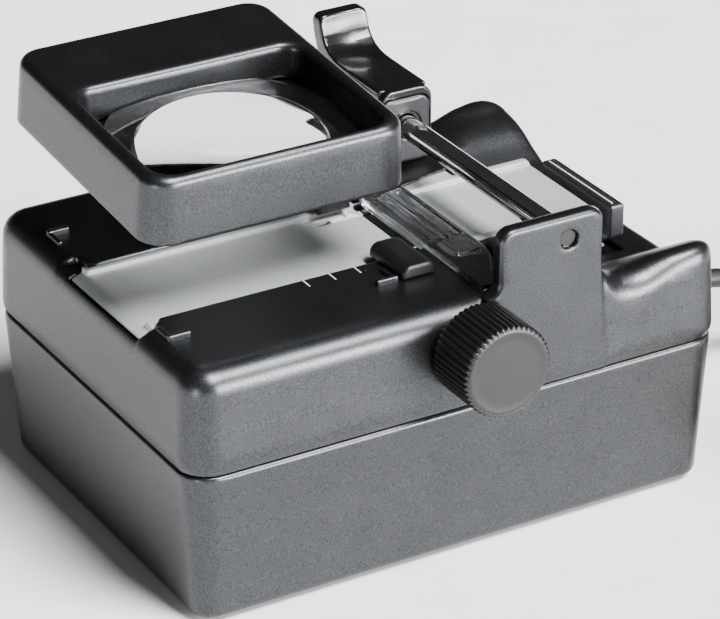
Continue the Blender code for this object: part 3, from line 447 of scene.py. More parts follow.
def tower_outline():
    """A tower from the front, with a hollow curve where it leaves the deck."""
    flare_r = 5.2
    flare = [(TOWER_X0 - flare_r + flare_r * math.sin(a), DECK_Z + flare_r - flare_r * math.cos(a))
             for a in np.radians((10, 30, 50, 70, 88)).tolist()]
    foot = [(TOWER_X1 + 2.5, SEAM_Z), (TOWER_X0 - 2.2, SEAM_Z), (TOWER_X0 - 2.2, DECK_Z - 1.0)]
    return foot + flare + [(TOWER_X0, TOWER_TOP_Z), (TOWER_X1, TOWER_TOP_Z), (TOWER_X1 + 0.2, 84.0)]


def tower(g, side):
    """A flat slab that carries one end of the rod, with softly rounded shoulders."""
    face, back = side * (HALF_Y - 0.05), side * (HALF_Y - TOWER_T)
    shape = outline_distance(g.x, g.z, tower_outline())
    shoulders = meet(np.maximum(TOWER_X0 - g.x, g.x - TOWER_X1 - 0.3), g.z - TOWER_TOP_Z, 4.6)
    shape = np.where(g.z > 90, np.maximum(shape, shoulders), shape)
    return meet(shape, np.abs(g.y - (face + back) / 2) - (TOWER_T - 0.05) / 2, 1.7)


def top_shell():
    """The upper housing: its deck, the scooped exit side, both towers and the film path."""
    g = Field((-89.5, -65.5, 47.4), (89.5, 65.5, 102.5), 0.6)
    dip = np.interp(g.x, RIM_DIP_X, RIM_DIP_Z).astype(np.float32)
    rise = np.clip((g.z - SEAM_Z) / (DECK_Z - DECK_FILLET - SEAM_Z), 0, 1)
    bevel = np.clip(1 - (g.z - SEAM_Z) / 2.6, 0, 1)
    outer = meet(housing_plan(g, TOP_DRAFT * rise + 0.9 * bevel), (g.z - dip) * 0.94, DECK_FILLET)
    shell = carve(outer, prism(g, SCOOP, "x", TOWER_X1 + 2.7, 110), 3.6)
    for side in (-1, 1):
        shell = join(shell, tower(g, side), 0.9)
    hollow = np.maximum(housing_plan(g, SEAM_INSET + WALL + 1.2), g.z - DECK_UNDER + 2.6)
    hollow = np.where(g.x < 42.0, hollow, np.maximum(hollow, g.z - 61.0))
    shell = np.maximum(shell, -hollow)
    shell = cut_film_path(g, shell)
    for side in (-1, 1):
        inner, end, outside = (side * (HALF_Y - t) for t in (TOWER_T + 2, 2.7, -2))
        shell = carve(shell, rod(g, "y", (ROD_X, ROD_Z), ROD_R + GAP, min(inner, end), max(inner, end)), 0.3)
        shell = carve(shell, rod(g, "y", (ROD_X, ROD_Z), 2.9, min(end, outside), max(end, outside)), 0.5)
    shell = carve(shell, rod(g, "y", (SHAFT_X, SHAFT_Z), 4.8, -HALF_Y - 2, -HALF_Y + 8), 0.5)
    shell = np.maximum(shell, SEAM_Z + GAP / 2 - g.z)
    settle(solid("housing_upper", g, shell), "housing", "top_shell")


def cut_film_path(g, shell):
    """The entry notch, the wells of both beds, the blade's slot and the slots for the sprockets."""
    lead_in = [(-95.0, 70.0), (-88.4, 72.0), (-87.3, 74.3), (-86.6, 75.8), (-85.6, 77.0), (-84.6, 77.7)]
    notch = lead_in + [(NOTCH_X, 77.7), (NOTCH_X, 95.0), (-95.0, 95.0)]
    shell = carve(shell, prism(g, notch, "y", -29.0, 21.5, 1.2), 1.4)
    throat = plan(g.x, g.y, (NOTCH_X - 3.6, FRONT - 2.2), (NOTCH_X + 2.0, REAR + 4.0), 2.2)
    shell = carve(shell, np.maximum(throat, 77.8 - g.z), 1.0)
    low, rear, front = FRONT - GAP, REAR + LEDGE_W + GAP, FRONT - END_LEDGE_W - GAP
    shell = cut_box(g, shell, (VIEW_X0 - GAP, front, 66), (NOTCH_X, REAR + END_LEDGE_W + GAP, 95))
    shell = cut_box(g, shell, (NOTCH_X - 1, low, 66), (VIEW_X1 + GAP, rear, 95), 0.5)
    shell = cut_box(g, shell, (VIEW_X1, low, BED_Z - GAP), (CUT_X + 2, rear, 95), 0.4)
    shell = cut_box(g, shell, (CUT_X - 5.3, low, BED_Z - 2.4), (CUT_X + 1, REAR + GAP, 95))
    shell = cut_box(g, shell, (CUT_X, CARRIAGE_FRONT_Y - CUT_STROKE - 1, BED_Z - 2.4),
                    (EXIT_X0, CARRIAGE_FRONT_Y + 23, 95))
    shell = carve(shell, block(g, (EXIT_X0 - 0.5, front, 62), (EXIT_X1 + 8, 14.6, 95), 0.5), 0.5)
    flare = [(EXIT_X0 - 0.5, 12.0), (42.2, 12.0), (42.2, 18.2), (EXIT_X0 - 0.5, 14.6)]
    shell = np.maximum(shell, -prism(g, flare, "z", 62, 95))
    for side in (-1, 1):
        y = FILM_Y + side * PERFORATION_Y
        shell = cut_box(g, shell, (SHAFT_X - TOOTH_SLOT_X, y - TOOTH_SLOT_HALF, 66),
                        (SHAFT_X + TOOTH_SLOT_X, y + TOOTH_SLOT_HALF, 95))
    return shell


def ribs():
    """Four L-shaped locating ribs on the deck, under the magnifier."""
    thick, top = 1.6, DECK_Z + 1.7
    for name in FOOT_SPOTS:
        x, sx = (RIB_X[0], 1) if name.endswith("left") else (RIB_X[1], -1)
        y, sy = (RIB_Y[0], 1) if name.startswith("front") else (RIB_Y[1], -1)
        bar_x, leg_y = sorted((x, x + sx * 7.0)), sorted((y, y + sy * 8.0))
        bar_y, leg_x = sorted((y, y + sy * thick)), sorted((x, x + sx * thick))
        g = Field((bar_x[0] - 1, leg_y[0] - 1, DECK_Z - 1.4), (bar_x[1] + 1, leg_y[1] + 1, top + 1), 0.2)
        bar = block(g, (bar_x[0], bar_y[0], DECK_Z - 0.6), (bar_x[1], bar_y[1], top), 0.5, 0.35)
        leg = block(g, (leg_x[0], leg_y[0], DECK_Z - 0.6), (leg_x[1], leg_y[1], top - 0.6), 0.5, 0.35)
        settle(solid("deck_rib_" + name, g, join(bar, leg, 0.3)), "housing", body="housing")


def base_shell():
    """The lower housing, an open tray with screw posts and seats for the feet."""
    g = Field((-89.5, -65.5, 0.2), (89.5, 65.5, 50.2), 0.75)
    top = SEAM_Z - GAP / 2
    draft = BASE_DRAFT * np.clip((top - g.z) / (top - FOOT_H - 2.4), 0, 1) + SEAM_INSET
    lip = 0.5 * np.clip(1 - (top - g.z) / 0.9, 0, 1)
    outer = meet(housing_plan(g, draft + lip), FOOT_H - g.z, 2.6)
    shell = np.maximum(outer, g.z - top)
    floor = FOOT_H + 2.8
    shell = np.maximum(shell, -np.maximum(housing_plan(g, draft + WALL), floor - g.z))
    for x, y in SCREW_SPOTS:
        shell = join(shell, rod(g, "z", (x, y), 4.6, floor - 1, top - 0.2), 0.8)
        shell = np.maximum(shell, -rod(g, "z", (x, y), 3.7, FOOT_H - 2, FOOT_H + 4))
        shell = np.maximum(shell, -rod(g, "z", (x, y), 1.9, FOOT_H, top + 2))
    for x, y in FOOT_SPOTS.values():
        shell = np.maximum(shell, -rod(g, "z", (x, y), 6.3, FOOT_H - 2, FOOT_H + 1))
    shell = np.maximum(shell, -rod(g, "x", (LEAD_Y, LEAD_Z), 4.8, HALF_X - 12, HALF_X + 2))
    settle(solid("housing_lower", g, shell), "housing", "base_shell")


def marks():
    """White printed ticks beside the film channel and the pale line on the end stop."""
    spots = [(x - 0.2, -29.4, DECK_Z, x + 0.2, -24.9, DECK_Z + 0.05) for x in MARKS_X]
    spots.append((71.1, -27.6, DECK_Z - 0.05, 71.6, 6.4, DECK_Z + 0.18))
    box = ((3, 2, 1, 0), (4, 5, 6, 7), (0, 1, 5, 4), (1, 2, 6, 5), (2, 3, 7, 6), (3, 0, 4, 7))
    vertices, faces = [], []
    for x0, y0, z0, x1, y1, z1 in spots:
        base = len(vertices)
        for z in (z0, z1):
            vertices += [place(x, y, z) for x, y in ((x0, y0), (x1, y0), (x1, y1), (x0, y1))]
        faces += [tuple(base + i for i in face) for face in box]
    settle(mesh_object("index_marks", vertices, faces), "mark_white", body="housing", slot="white_plastic")


# Beds and small parts of the film path

def beds():
    """Two opal channels for the film: the lit one to look at, and the one past the blade."""
    under = BED_Z - BED_T
    g = Field((VIEW_X0 - 1.5, FRONT - 5.5, under - 1.2), (VIEW_X1 + 1.5, REAR + 5.5, LEDGE_Z + 1.5), 0.35)
    bed = block(g, (NOTCH_X - 1, FRONT, under), (VIEW_X1, REAR + LEDGE_W, LEDGE_Z), 0.3, 0.35)
    end_lo, end_hi = (VIEW_X0, FRONT - END_LEDGE_W, under), (NOTCH_X - GAP, REAR + END_LEDGE_W, LEDGE_Z)
    bed = np.minimum(bed, block(g, end_lo, end_hi, 0.8, 0.6))
    bed = carve(bed, block(g, (VIEW_X0 - 9, FRONT, BED_Z), (VIEW_X1 + 9, REAR, LEDGE_Z + 4)), 0.7)
    lead_in = np.maximum((g.z - BED_Z) + 0.45 * (VIEW_X0 + 3.5 - g.x), VIEW_X0 - 4 - g.x)
    bed = np.where(g.x < VIEW_X0 + 3.5, meet(bed, lead_in, 0.6), bed)
    for side in (-1, 1):
        y = FILM_Y + side * PERFORATION_Y
        slot_lo = (SHAFT_X - TOOTH_SLOT_X, y - TOOTH_SLOT_HALF, 60)
        bed = np.maximum(bed, -block(g, slot_lo, (VIEW_X1 + 9, y + TOOTH_SLOT_HALF, 95), 0.4))
    settle(solid("opal_viewing_bed", g, bed), "opal", "viewing_bed")

    g = Field((EXIT_X0 - 1.5, FRONT - 4.5, 64.8), (EXIT_X1 + 3.5, REAR + 8.5, LEDGE_Z + 1.5), 0.35)
    skirt = [(EXIT_X0, LEDGE_Z), (EXIT_X0, under), (EXIT_X1 - 3.2, under), (EXIT_X1 - 2.2, under - 1.0),
             (EXIT_X1 - 1.8, 66.2), (EXIT_X1 + 1.8, 66.2), (EXIT_X1 + 1.8, 67.0), (EXIT_X1 + 0.6, 68.2),
             (EXIT_X1, 70.0), (EXIT_X1, LEDGE_Z - 1.6), (EXIT_X1 - 0.5, LEDGE_Z - 0.5),
             (EXIT_X1 - 1.6, LEDGE_Z)]
    bed = prism(g, skirt, "y", FRONT - 3.0, REAR + 2.2, 0.4)
    flare = [(EXIT_X0, REAR), (41.6, REAR), (41.6, 17.8), (34.0, 16.6), (EXIT_X0, 14.2)]
    bed = join(bed, prism(g, flare, "z", under, LEDGE_Z, 0.35), 0.4)
    bed = carve(bed, block(g, (EXIT_X0 - 2, FRONT, BED_Z), (EXIT_X1 + 9, REAR - 0.6, LEDGE_Z + 4)), 0.6)
    settle(solid("opal_exit_bed", g, bed), "opal", "exit_bed")


def bar(name, node, outline, lo, hi, edge):
    """A short black bar of one outline, drawn out along y, with round ends."""
    xs, zs = zip(*outline)
    g = Field((min(xs) - 1, lo - 1, min(zs) - 1), (max(xs) + 1, hi + 1, max(zs) + 1), 0.25)
    settle(solid(name, g, prism(g, outline, "y", lo, hi, edge)), "black_matt", node)


def soft_box(lo, hi, low_r, high_r, points=7):
    """Outline of a bar that lies flat, with its own radius at the foot and at the top."""
    left, right = (lo[0] + high_r, hi[1] - high_r), (hi[0] - high_r, hi[1] - high_r)
    foot_left, foot_right = (lo[0] + low_r, lo[1] + low_r), (hi[0] - low_r, lo[1] + low_r)
    return (arc(right, high_r, 0, 90, points) + arc(left, high_r, 90, 180, points)
            + arc(foot_left, low_r, 180, 270, points) + arc(foot_right, low_r, 270, 360, points))


def film_path_parts():
    """The film guides, the guard on the blade's slot and the end stop."""
    guide = soft_box((-7.5, DECK_Z + GAP), (3.5, DECK_Z + 4.2), 0.3, 2.9)
    bar("guide_front", "film_guide_front", guide, -40.5, FRONT + 3.4, 0.9)
    bar("guide_rear", "film_guide_rear", guide, REAR - 3.4, 27.5, 0.9)
    stop = CARRIAGE_FRONT_Y - CUT_STROKE
    guard = soft_box((23.2, DECK_Z + GAP), (29.8, DECK_Z + 3.0), 0.2, 1.0)
    bar("slot_guard", "blade_guard", guard, stop - 8.0, stop - 1.4, 0.5)

    x0, x1 = EXIT_X1 + 1.8 + GAP, 74.6
    g = Field((x0 - 1, -30.5, 64.2), (x1 + 1, 9.0, 81.0), 0.3)
    shape = prism(g, soft_box((x0, 69.6), (x1, DECK_Z), 0.25, 0.9), "y", -29.5, 8.0, 0.7)
    shape = carve(shape, block(g, (x0 + 3.7, -28.2, DECK_Z - 0.45), (x0 + 4.1, 6.8, DECK_Z + 2)), 0.3)
    for y in (-22.0, 0.0):
        shape = join(shape, block(g, (x0 + 1.6, y, 65.2), (x1 - 0.6, y + 4.5, 71.0), 0.5, 0.2), 0.6)
    settle(solid("exit_stop", g, shape), "stop_grey", "end_stop")


# Knob, rod and turned parts

def knob():
    front, back = KNOB_BACK_Y - KNOB_L, KNOB_BACK_Y

    def flute(radius, along, angle):
        depth = FLUTE_DEPTH * max(0.0, min(1.0, (radius - KNOB_R + 1.3) / 1.3))
        return radius - depth * (0.5 - 0.5 * math.cos(FLUTES * angle)) ** 1.4

    profile = [(SHAFT_R + 0.6, back), (KNOB_R - 1.0, back), (KNOB_R - 0.3, back - 0.25), (KNOB_R, back - 0.9)]
    profile += [(KNOB_R, back - 0.9 - (KNOB_L - 2.3) * i / 6) for i in range(1, 7)]
    profile += [(KNOB_R - 0.2, front + 0.9), (KNOB_R - 0.7, front + 0.35), (KNOB_R - 1.4, front + 0.08),
                (KNOB_R - 2.1, front), (KNOB_R - 2.5, front + 0.12), (9.0, front + 0.04), (5.0, front),
                (1.0, front)]
    settle(lathe("fluted_knob", profile, "y", (SHAFT_X, 0, SHAFT_Z), FLUTES * 10, flute, 50),
           "black_matt", "transport_knob")


def turned_parts():
    """The rod, the boot of the mains lead and the feet; gives back the boot."""
    end = HALF_Y - 2.7 - GAP
    profile = [(ROD_R - 0.5, -end), (ROD_R, -end + 0.5), (ROD_R, end - 0.5), (ROD_R - 0.5, end)]
    settle(lathe("steel_rod", profile, "y", (ROD_X, 0, ROD_Z)), "chrome", "guide_rod")
    relief = [(4.4, -5.0), (4.4, -GAP), (6.4, GAP), (7.0, 0.8), (7.0, 1.8), (6.5, 2.4), (5.4, 3.0)]
    for i in range(7):
        along, r = 4.0 + 2.7 * i, 5.4 - 0.21 * i
        relief += [(r, along), (r, along + 1.5), (r - 0.75, along + 1.8), (r - 0.8, along + 2.4)]
    relief[-1:] = [(3.95, RELIEF_L - 0.6), (3.7, RELIEF_L)]
    boot = lathe("ribbed_boot", relief, "x", (WALL_X, LEAD_Y, LEAD_Z), 64, smooth=40)
    settle(boot, "rubber", "strain_relief")
    for name, (x, y) in FOOT_SPOTS.items():
        profile = [(4.6, 0.0), (5.6, 0.15), (6.0, 0.6), (6.0, FOOT_H + 0.7)]
        settle(lathe("pad_" + name, profile, "z", (x, y, 0), 64), "rubber", "foot_" + name)
    return boot


# Cutter

def cutter():
    """The carriage on its rod, and the thumb lever that caps it."""
    x0, x1, z0, z1 = CARRIAGE
    front, back = CARRIAGE_FRONT_Y, CARRIAGE_BACK_Y
    rim = 1.1
    face = soft_box((x0, z0), (x1 - rim, z1 - rim), 0.8, 3.2)
    g = Field((x0 - 1, front - 1, z0 - 1), (x1 + 1, back + 1, z1 + 1), 0.3)
    shape = prism(g, face, "y", front, back, 0.7)
    shape = carve(shape, rod(g, "y", (ROD_X, ROD_Z), ROD_R + GAP, front - 2, back + 2), 0.5)
    arch = soft_box((ROD_X - 4.9, 60.0), (ROD_X + 4.9, ROD_Z + 4.7), 0.3, 4.6)
    recess = prism(g, arch, "y", front - 2, front + 0.9)
    shape = carve(shape, np.maximum(recess, ROD_Z - 1.5 - g.z), 0.3)
    settle(solid("carriage_block", g, shape), "carriage_grey", "carriage")

    top, rear = z1 + GAP, back + GAP
    side = [(28.0, top - 1), (rear, top - 1), (rear, 84.0), (rear + 2.2, 84.0), (rear + 2.2, 100.9),
            (61.4, 101.2), (64.9, 104.5), (66.9, 109.0), (LEVER_BACK_Y, 113.6), (LEVER_BACK_Y, LEVER_TOP_Z),
            (LEVER_BACK_Y - 5.0, LEVER_TOP_Z), (62.2, 113.4), (61.2, 110.4), (59.6, 108.2), (57.2, 106.7),
            (53.6, 105.7), (48.0, 105.1), (40.0, 105.0), (28.0, 105.0)]
    g = Field((x0 - 1, front - 0.5, z0 - 0.4), (x1 + 1, LEVER_BACK_Y + 1, LEVER_TOP_Z + 1.2), 0.3)
    paddle = prism(g, side, "x", x0, x1, 1.1)
    crown = meet(np.abs(g.x - (x0 + x1) / 2) - (x1 - x0) / 2, g.z - LEVER_TOP_Z, 3.4)
    paddle = meet(paddle, crown, 1.4)
    cap = prism(g, soft_box((x0, z0 + 0.6), (x1, z1 + 1.5), 0.4, 4.2), "y", front + 0.5, rear + 0.8, 0.4)
    inner = outline_distance(g.x, g.z, face) - 0.25
    cap = np.maximum(np.maximum(cap, -inner), x0 + 0.2 - g.x)
    cap = np.maximum(cap, -np.maximum(g.x - x1 + 3.0, g.z - z1 + 3.0))
    shape = join(np.maximum(paddle, -np.maximum(inner, g.y - rear)), cap, 0.6)
    dish = np.sqrt((g.x - ROD_X) ** 2 * 0.55 + (g.y - 51.6) ** 2 + (g.z - 116.2) ** 2) - 11.4
    shape = carve(shape, dish, 2.5)
    shape = carve(shape, rod(g, "y", (ROD_X, ROD_Z), ROD_R + GAP, front - 2, rear + 6), 0.3)
    settle(solid("thumb_piece", g, shape), "black_gloss", "thumb_lever")


# Pressure flap

def flap():
    """The clear arm that holds the film down, with its studded finger pad, and its fork."""
    low, top = DECK_Z + GAP, DECK_Z + 2.2
    g = Field((FLAP_X0 - 1, FLAP_FRONT_Y - 1, 77.4), (FLAP_X1 + 1, FLAP_PIN_Y + 4.2, 87.6), 0.28)
    outline = [(FLAP_X0, 16.0), (FLAP_X0, FLAP_FRONT_Y), (FLAP_X0 + 5.0, FLAP_FRONT_Y),
               (FLAP_X0 + 9.0, -48.0), (FLAP_X1 - 1.5, -42.0), (FLAP_X1, -36.0), (FLAP_X1, 16.0)]
    arm = prism(g, outline, "z", low, top, 0.45)
    presser_lo, presser_hi = (FLAP_X0 + 0.6, FRONT + 0.4, BED_Z + 0.4), (FLAP_X1 - 0.6, REAR - 0.4, low + 1)
    arm = join(arm, block(g, presser_lo, presser_hi, 0.5, 0.2), 0.4)
    arm = join(arm, rod(g, "y", (15.2, top - 0.3), 1.3, -26.5, 15.0, 0.4), 0.5)
    arm = carve(arm, rod(g, "y", (11.4, top + 1.2), 2.0, -25.0, 13.0, 0.4), 0.4)
    pad = block(g, (FLAP_X0 + 3.0, -38.0, low), (FLAP_X1 - 2.5, -27.5, top + 0.9), 1.6, 0.5)
    studs = 0.22 * np.sin((g.x + g.y) * 3.2) * np.sin((g.x - g.y) * 3.2)
    inset = plan(g.x, g.y, (FLAP_X0 + 4.0, -37.0), (FLAP_X1 - 3.5, -28.5), 1.2)
    pad = pad + np.where((inset < 0) & (g.z > top), studs, 0)
    arm = join(arm, pad, 0.6)
    pin = (FLAP_PIN_Y, FLAP_PIN_Z)
    knuckle = [(14.0, low), (FLAP_PIN_Y - 2.0, low)] + arc(pin, KNUCKLE_R, 250, 450, 12)
    knuckle += [(FLAP_PIN_Y - 3.4, top + 1.6), (FLAP_PIN_Y - 6.0, top), (14.0, top)]
    arm = join(arm, prism(g, knuckle, "x", FLAP_X0 + 3.4, FLAP_X1 - 3.4, 0.4), 0.6)
    arm = np.maximum(arm, -rod(g, "x", pin, FLAP_PIN_R + GAP, 0, 40))
    settle(solid("clear_arm", g, arm), "clear_acrylic", "pressure_flap")

    g = Field((FLAP_X0 - 1, FLAP_PIN_Y - 4, low - 1), (FLAP_X1 + 1, FLAP_PIN_Y + 10, 87.4), 0.28)
    fork = block(g, (FLAP_X0, FLAP_PIN_Y + 3.6, low), (FLAP_X1, FLAP_PIN_Y + 9.0, low + 2.0), 0.4, 0.3)
    ear = [(FLAP_PIN_Y - KNUCKLE_R, low), (FLAP_PIN_Y + 5.0, low), (FLAP_PIN_Y + 5.0, low + 2.0)]
    ear += arc(pin, KNUCKLE_R, 0, 180, 12)
    for x in (FLAP_X0, FLAP_X1 - EAR_T):
        fork = join(fork, prism(g, ear, "x", x, x + EAR_T, 0.4), 0.4)
    fork = np.maximum(fork, -rod(g, "x", pin, FLAP_PIN_R + GAP, 0, 40))
    settle(solid("flap_fork", g, fork), "black_matt", "flap_bracket")


# Magnifier

def magnifier():
    """The leaning hood with its window, hinge lugs and hollow rear, and the plate inside it."""
    half, wall, pin = MAG_W / 2, 2.8, (MAG_PIN_V, MAG_PIN_W)
    g = Field((-half - 1.2, -1.2, -1.4), (half + 1.2, MAG_PIN_V + 5.2, MAG_H + 1.4), 0.45)
    taper = np.clip(g.z / 20, 0, 1)
    walls = plan(g.x, g.y, (-half, 0), (half, MAG_L), 9.0) + taper
    hood = meet(meet(walls, g.z - MAG_H, 3.0), -g.z, 0.6)
    low = plan(g.x, g.y, (-half + wall, wall), (half - wall, MAG_L - wall), 6.5) + taper * 0.8
    hood = np.maximum(hood, -np.maximum(low, g.z - SEAT_W - GAP))
    rear = plan(g.x, g.y, (-half + wall, WINDOW_V1 + 3.0), (half - wall, MAG_L - wall), 5.0) + taper * 0.8
    hood = np.maximum(hood, -np.maximum(rear, g.z - MAG_H + 2.6))
    window = plan(g.x, g.y, (-WINDOW_X, WINDOW_V0), (WINDOW_X, WINDOW_V1), 6.0) - 0.05 * (g.z - SEAT_W)
    hood = carve(hood, np.maximum(window, SEAT_W - 3 - g.z), 2.4)
    lug = [(MAG_L - 2.0, 0.6)] + arc(pin, MAG_LUG_R, -70, 80, 12) + [(MAG_L - 2.0, 8.0)]
    for x in (-POST_HALF_X - 4.6, POST_HALF_X + 0.6):
        hood = join(hood, prism(g, lug, "x", x, x + 4.0, 0.4), 0.8)
    hood = np.maximum(hood, -rod(g, "x", pin, MAG_PIN_R + GAP, -20, 20))
    settle(solid("magnifier_hood", g, hood, magnifier_place()), "housing", "magnifier_frame")

    g = Field((-half, wall, SEAT_W - 3.6), (half, MAG_L - wall, SEAT_W + 1.2), 0.4)
    plate = meet(plan(g.x, g.y, (-half + 4.3, 4.3), (half - 4.3, MAG_L - 4.3), 3.7),
                 np.abs(g.z - SEAT_W + 1.2) - 1.2, 0.3)
    sight = np.hypot(g.x, g.y - LENS_V) - SIGHT_R
    plate = carve(plate, np.maximum(sight, np.abs(g.z - SEAT_W) - 6), 0.5)
    settle(solid("lens_plate", g, plate, magnifier_place()), "black_gloss", "lens_carrier")


def lens():
    """Round lens, thick in the middle, trimmed to the straight walls of the window."""
    steps, rings, bevel, clearance = 288, 40, 0.4, 0.35
    side, back, front = (reach - clearance for reach in (WINDOW_X, WINDOW_V1 - LENS_V, LENS_V - WINDOW_V0))
    matrix = magnifier_place()

    def rim(angle):
        across, along = math.cos(angle), math.sin(angle)
        end = back if along > 0 else front
        return min(LENS_R, side / max(abs(across), 0.001), end / max(abs(along), 0.001))

    def cap(r, rise):
        ball = (LENS_R ** 2 + rise ** 2) / (2 * rise)
        return math.sqrt(ball ** 2 - r ** 2) - ball + rise

    def belly(r):
        return SEAT_W + GAP + 0.8 - cap(r, BELLY_H)

    def crown(r):
        return SEAT_W + GAP + LENS_EDGE + cap(r, CROWN_H)

    shares = [i / rings for i in range(1, rings + 1)]
    layers = [(share, 0.0, 0.0, belly) for share in shares] + [(1.0, 0.0, bevel, crown)]
    layers += [(share, bevel, 0.0, crown) for share in reversed(shares)]
    vertices = []
    for share, inset, drop, surface in layers:
        for i in range(steps):
            angle = 2 * math.pi * i / steps
            r = share * (rim(angle) - inset)
            spot = Vector((r * math.cos(angle), LENS_V + r * math.sin(angle), surface(r) - drop))
            vertices.append(matrix @ (spot * MM))
    obj = mesh_object("lens_disc", vertices, ring_faces(len(layers), steps))
    obj.data.shade_smooth()
    obj.data.set_sharp_from_angle(angle=math.radians(40))
    settle(obj, "lens_glass", "magnifier_lens")


def magnifier_post():
    """The post behind the beds that carries the hood's hinge, leaning back."""
    pin = magnifier_place() @ Vector((0, MAG_PIN_V * MM, MAG_PIN_W * MM)) / MM
    y, z, floor = pin.y - SHIFT_Y, pin.z, DECK_Z + GAP
    x0, x1 = MAG_X - POST_HALF_X, MAG_X + POST_HALF_X
    outline = [(y - 15.5, floor), (y - 5.5, floor), (y + 3.9, z - 9.0)]
    outline += arc((y, z), MAG_LUG_R, -10, 190, 14) + [(y - 4.2, z - 7.0)]
    g = Field((x0 - 1, y - 16.5, floor - 1), (x1 + 1, y + 5.0, z + 4.8), 0.35)
    post = prism(g, outline, "x", x0, x1, 0.7)
    post = np.maximum(post, -rod(g, "x", (y, z), MAG_PIN_R + GAP, x0 - 2, x1 + 2))
    settle(solid("hinge_post", g, post), "housing", "magnifier_post")


# Mains lead

def lead_route():
    """Points of the lead: out of the boot, down, into the coil, out of it and to the plug."""
    start = [(LEAD_START_X, LEAD_Y, LEAD_Z), (114.2, LEAD_Y, 35.68), (118.0, LEAD_Y, 35.5),
             (122.6, -9.8, 34.8), (127.0, -9.4, 33.4), (131.2, -8.6, 31.0), (135.0, -7.4, 28.0),
             (138.2, -6.1, 24.4), (141.0, -4.6, 20.6), (144.0, -2.9, 16.4), (147.0, -1.0, 12.4),
             (150.2, 1.2, 9.0), (153.5, 3.2, 6.6), (157.0, 4.9, 5.2), (160.5, 6.2, 4.5),
             (164.4, 6.9, 4.25), (ENTRY_X, JOIN_Y, LOW_LAYER_Z), (176.2, JOIN_Y, LOW_LAYER_Z),
             (184.1, JOIN_Y, LOW_LAYER_Z)]
    coil, per_turn = [], 24
    total = int(COIL_TURNS * per_turn)
    for i in range(total + 1):
        turns = i / per_turn
        inward = min(turns, COIL_TURNS - turns)
        radius = COIL_OUT - COIL_PITCH * inward
        lift = min(1.0, max(0.0, (turns - COIL_TURNS / 2) / 0.3 + 0.5))
        height = LOW_LAYER_Z + (HIGH_LAYER_Z - LOW_LAYER_Z) * (3 - 2 * lift) * lift * lift
        angle = math.pi / 2 - 2 * math.pi * turns
        coil.append((COIL_X + radius * math.cos(angle), COIL_Y + radius * math.sin(angle), height))
    end = [(184.1, TAIL_Y, 10.3), (176.2, TAIL_Y, 10.1), (ENTRY_X, TAIL_Y, 9.6), (163.0, TAIL_Y, 8.2),
           (156.0, TAIL_Y, 7.1), (PLUG_REAR_X + GAP, TAIL_Y, 7.0)]
    return [place(*p) for p in start + coil + end]


def lead(boot):
    """The mains lead in one length, and its plug."""
    points = lead_route()
    curve = bpy.data.curves.new("mains_lead", "CURVE")
    curve.dimensions = "3D"
    curve.bevel_depth = LEAD_R * MM
    curve.bevel_resolution = 6
    curve.use_fill_caps = True
    spline = curve.splines.new("POLY")
    spline.points.add(len(points) - 1)
    for spot, p in zip(spline.points, points):
        spot.co = (*p, 1.0)
    spline.use_smooth = True
    cord = bpy.data.objects.new("mains_lead", curve)
    bpy.context.scene.collection.objects.link(cord)
    settle(cord, "cable_black", "lead_cord", "lead_coil", "lead_tail")
    plug()


def plug():
    """A flat two-pin plug, with grip ribs and a hole behind each pin."""
    tip, half = PLUG_REAR_X - PLUG_L, PLUG_W / 2
    g = Field((tip - 1, TAIL_Y - half - 1, PLUG_Z - 1),
              (PLUG_REAR_X + 1, TAIL_Y + half + 1, PLUG_Z + PLUG_T + 1), 0.4)
    flank = [(PLUG_REAR_X, 5.0), (PLUG_REAR_X - 6.0, 8.4), (PLUG_REAR_X - 12.0, 14.4),
             (PLUG_REAR_X - 17.0, half - 0.4), (PLUG_REAR_X - 20.0, half), (tip + 2.0, half),
             (tip, half - 2.0)]
    outline = [(x, TAIL_Y + y) for x, y in flank] + [(x, TAIL_Y - y) for x, y in reversed(flank)]
    shape = prism(g, outline, "z", PLUG_Z, PLUG_Z + PLUG_T, 2.2)
    grip = np.abs(g.z - PLUG_Z - PLUG_T / 2) - PLUG_T / 2 + 0.5
    for i in range(4):
        rib = block(g, (tip + 18 + 3.2 * i, TAIL_Y - 7, -3), (tip + 19.4 + 3.2 * i, TAIL_Y + 7, 20), 0.6)
        shape = carve(shape, np.maximum(rib, -grip), 0.4)
    for side in (-1, 1):
        at = (TAIL_Y + side * 9.3, PLUG_Z + PLUG_T / 2)
        shape = np.maximum(shape, -rod(g, "x", at, 2.3, tip - 2, tip + 8))
    return settle(solid("flat_plug", g, shape), "plug_black", "mains_plug")


# Studio

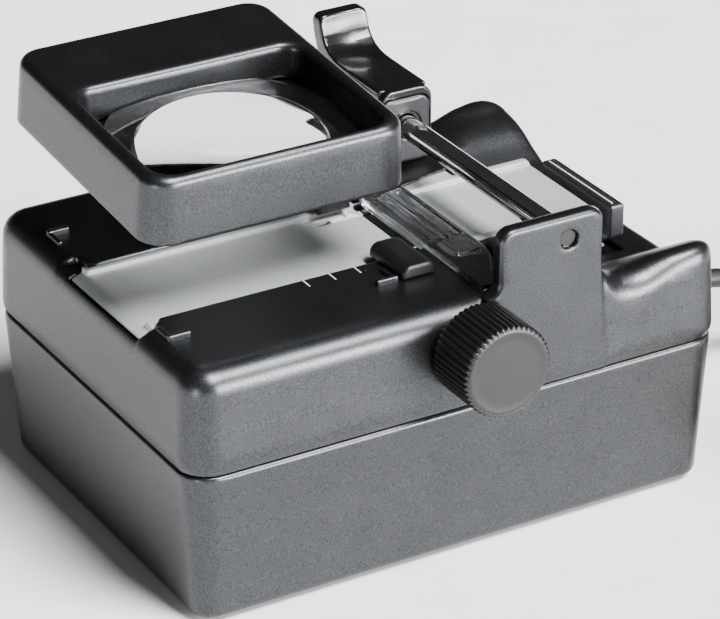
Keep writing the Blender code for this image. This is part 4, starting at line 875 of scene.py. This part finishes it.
def studio():
    """A pale floor under a broad soft light, with a key light at the right and a weak one at the left."""
    floor = mesh_object("floor", [(-6, -6, 0), (6, -6, 0), (6, 6, 0), (-6, 6, 0)], [(0, 1, 2, 3)])
    floor.data.materials.append(moulded("floor", (0.88, 0.88, 0.88), (0.92, 0.92, 0.92), (0.7, 0.8),
                                        grain=40, depth=0.00001, patch=3))
    world = bpy.data.worlds.new("studio")
    world.use_nodes = True
    background = world.node_tree.nodes["Background"]
    background.inputs["Color"].default_value = (0.9, 0.95, 1.0, 1.0)
    background.inputs["Strength"].default_value = 0.05
    bpy.context.scene.world = world
    sky = bpy.data.lights.new("sky", "SUN")
    sky.energy, sky.angle = 9.5, math.radians(26)
    lamp = bpy.data.objects.new("light_sky", sky)
    lamp.rotation_euler = Vector((-0.28, 0.62, -1.0)).to_track_quat("-Z", "Y").to_euler()
    bpy.context.scene.collection.objects.link(lamp)
    for name, at, aim, size, watts in (
            ("key", (0.75, -1.35, 0.30), (0, 0, 0.06), (0.9, 0.5), 70.0),
            ("side", (-1.3, -0.72, 0.13), (0, 0, 0.06), (0.25, 0.25), 6.0)):
        light = bpy.data.lights.new(name, "AREA")
        light.shape, light.size, light.size_y, light.energy = "RECTANGLE", size[0], size[1], watts
        lamp = bpy.data.objects.new("light_" + name, light)
        lamp.location = at
        lamp.rotation_euler = (Vector(aim) - Vector(at)).to_track_quat("-Z", "Y").to_euler()
        bpy.context.scene.collection.objects.link(lamp)


def node_slots():
    """The finish of each CAD node that shows as it is, where that isn't steel."""
    finishes = {
        "brass": "front_bush plug_pin_left plug_pin_right",
        "white_plastic": "sprocket_front sprocket_rear lamp_holder terminal_block",
        "reflector": "lamp_reflector",
        "lens_glass": "lamp",
        "black_matt": "shaft_bracket lead_tie rod_screw_front rod_screw_rear",
    }
    return {node: paint for paint, nodes in finishes.items() for node in nodes.split()}


def paint_cad_nodes():
    slots = node_slots()
    for node, obj in frame["nodes"].items():
        finish = FINISHES[slots.get(node, "steel")]
        for i in range(len(obj.material_slots)):
            obj.material_slots[i].material = finish
        if not obj.material_slots:
            obj.data.materials.append(finish)


add_camera()
FINISHES = make_finishes()
paint_cad_nodes()
lead(turned_parts())
top_shell()
ribs()
base_shell()
marks()
beds()
film_path_parts()
knob()
cutter()
flap()
magnifier()
lens()
magnifier_post()
studio()
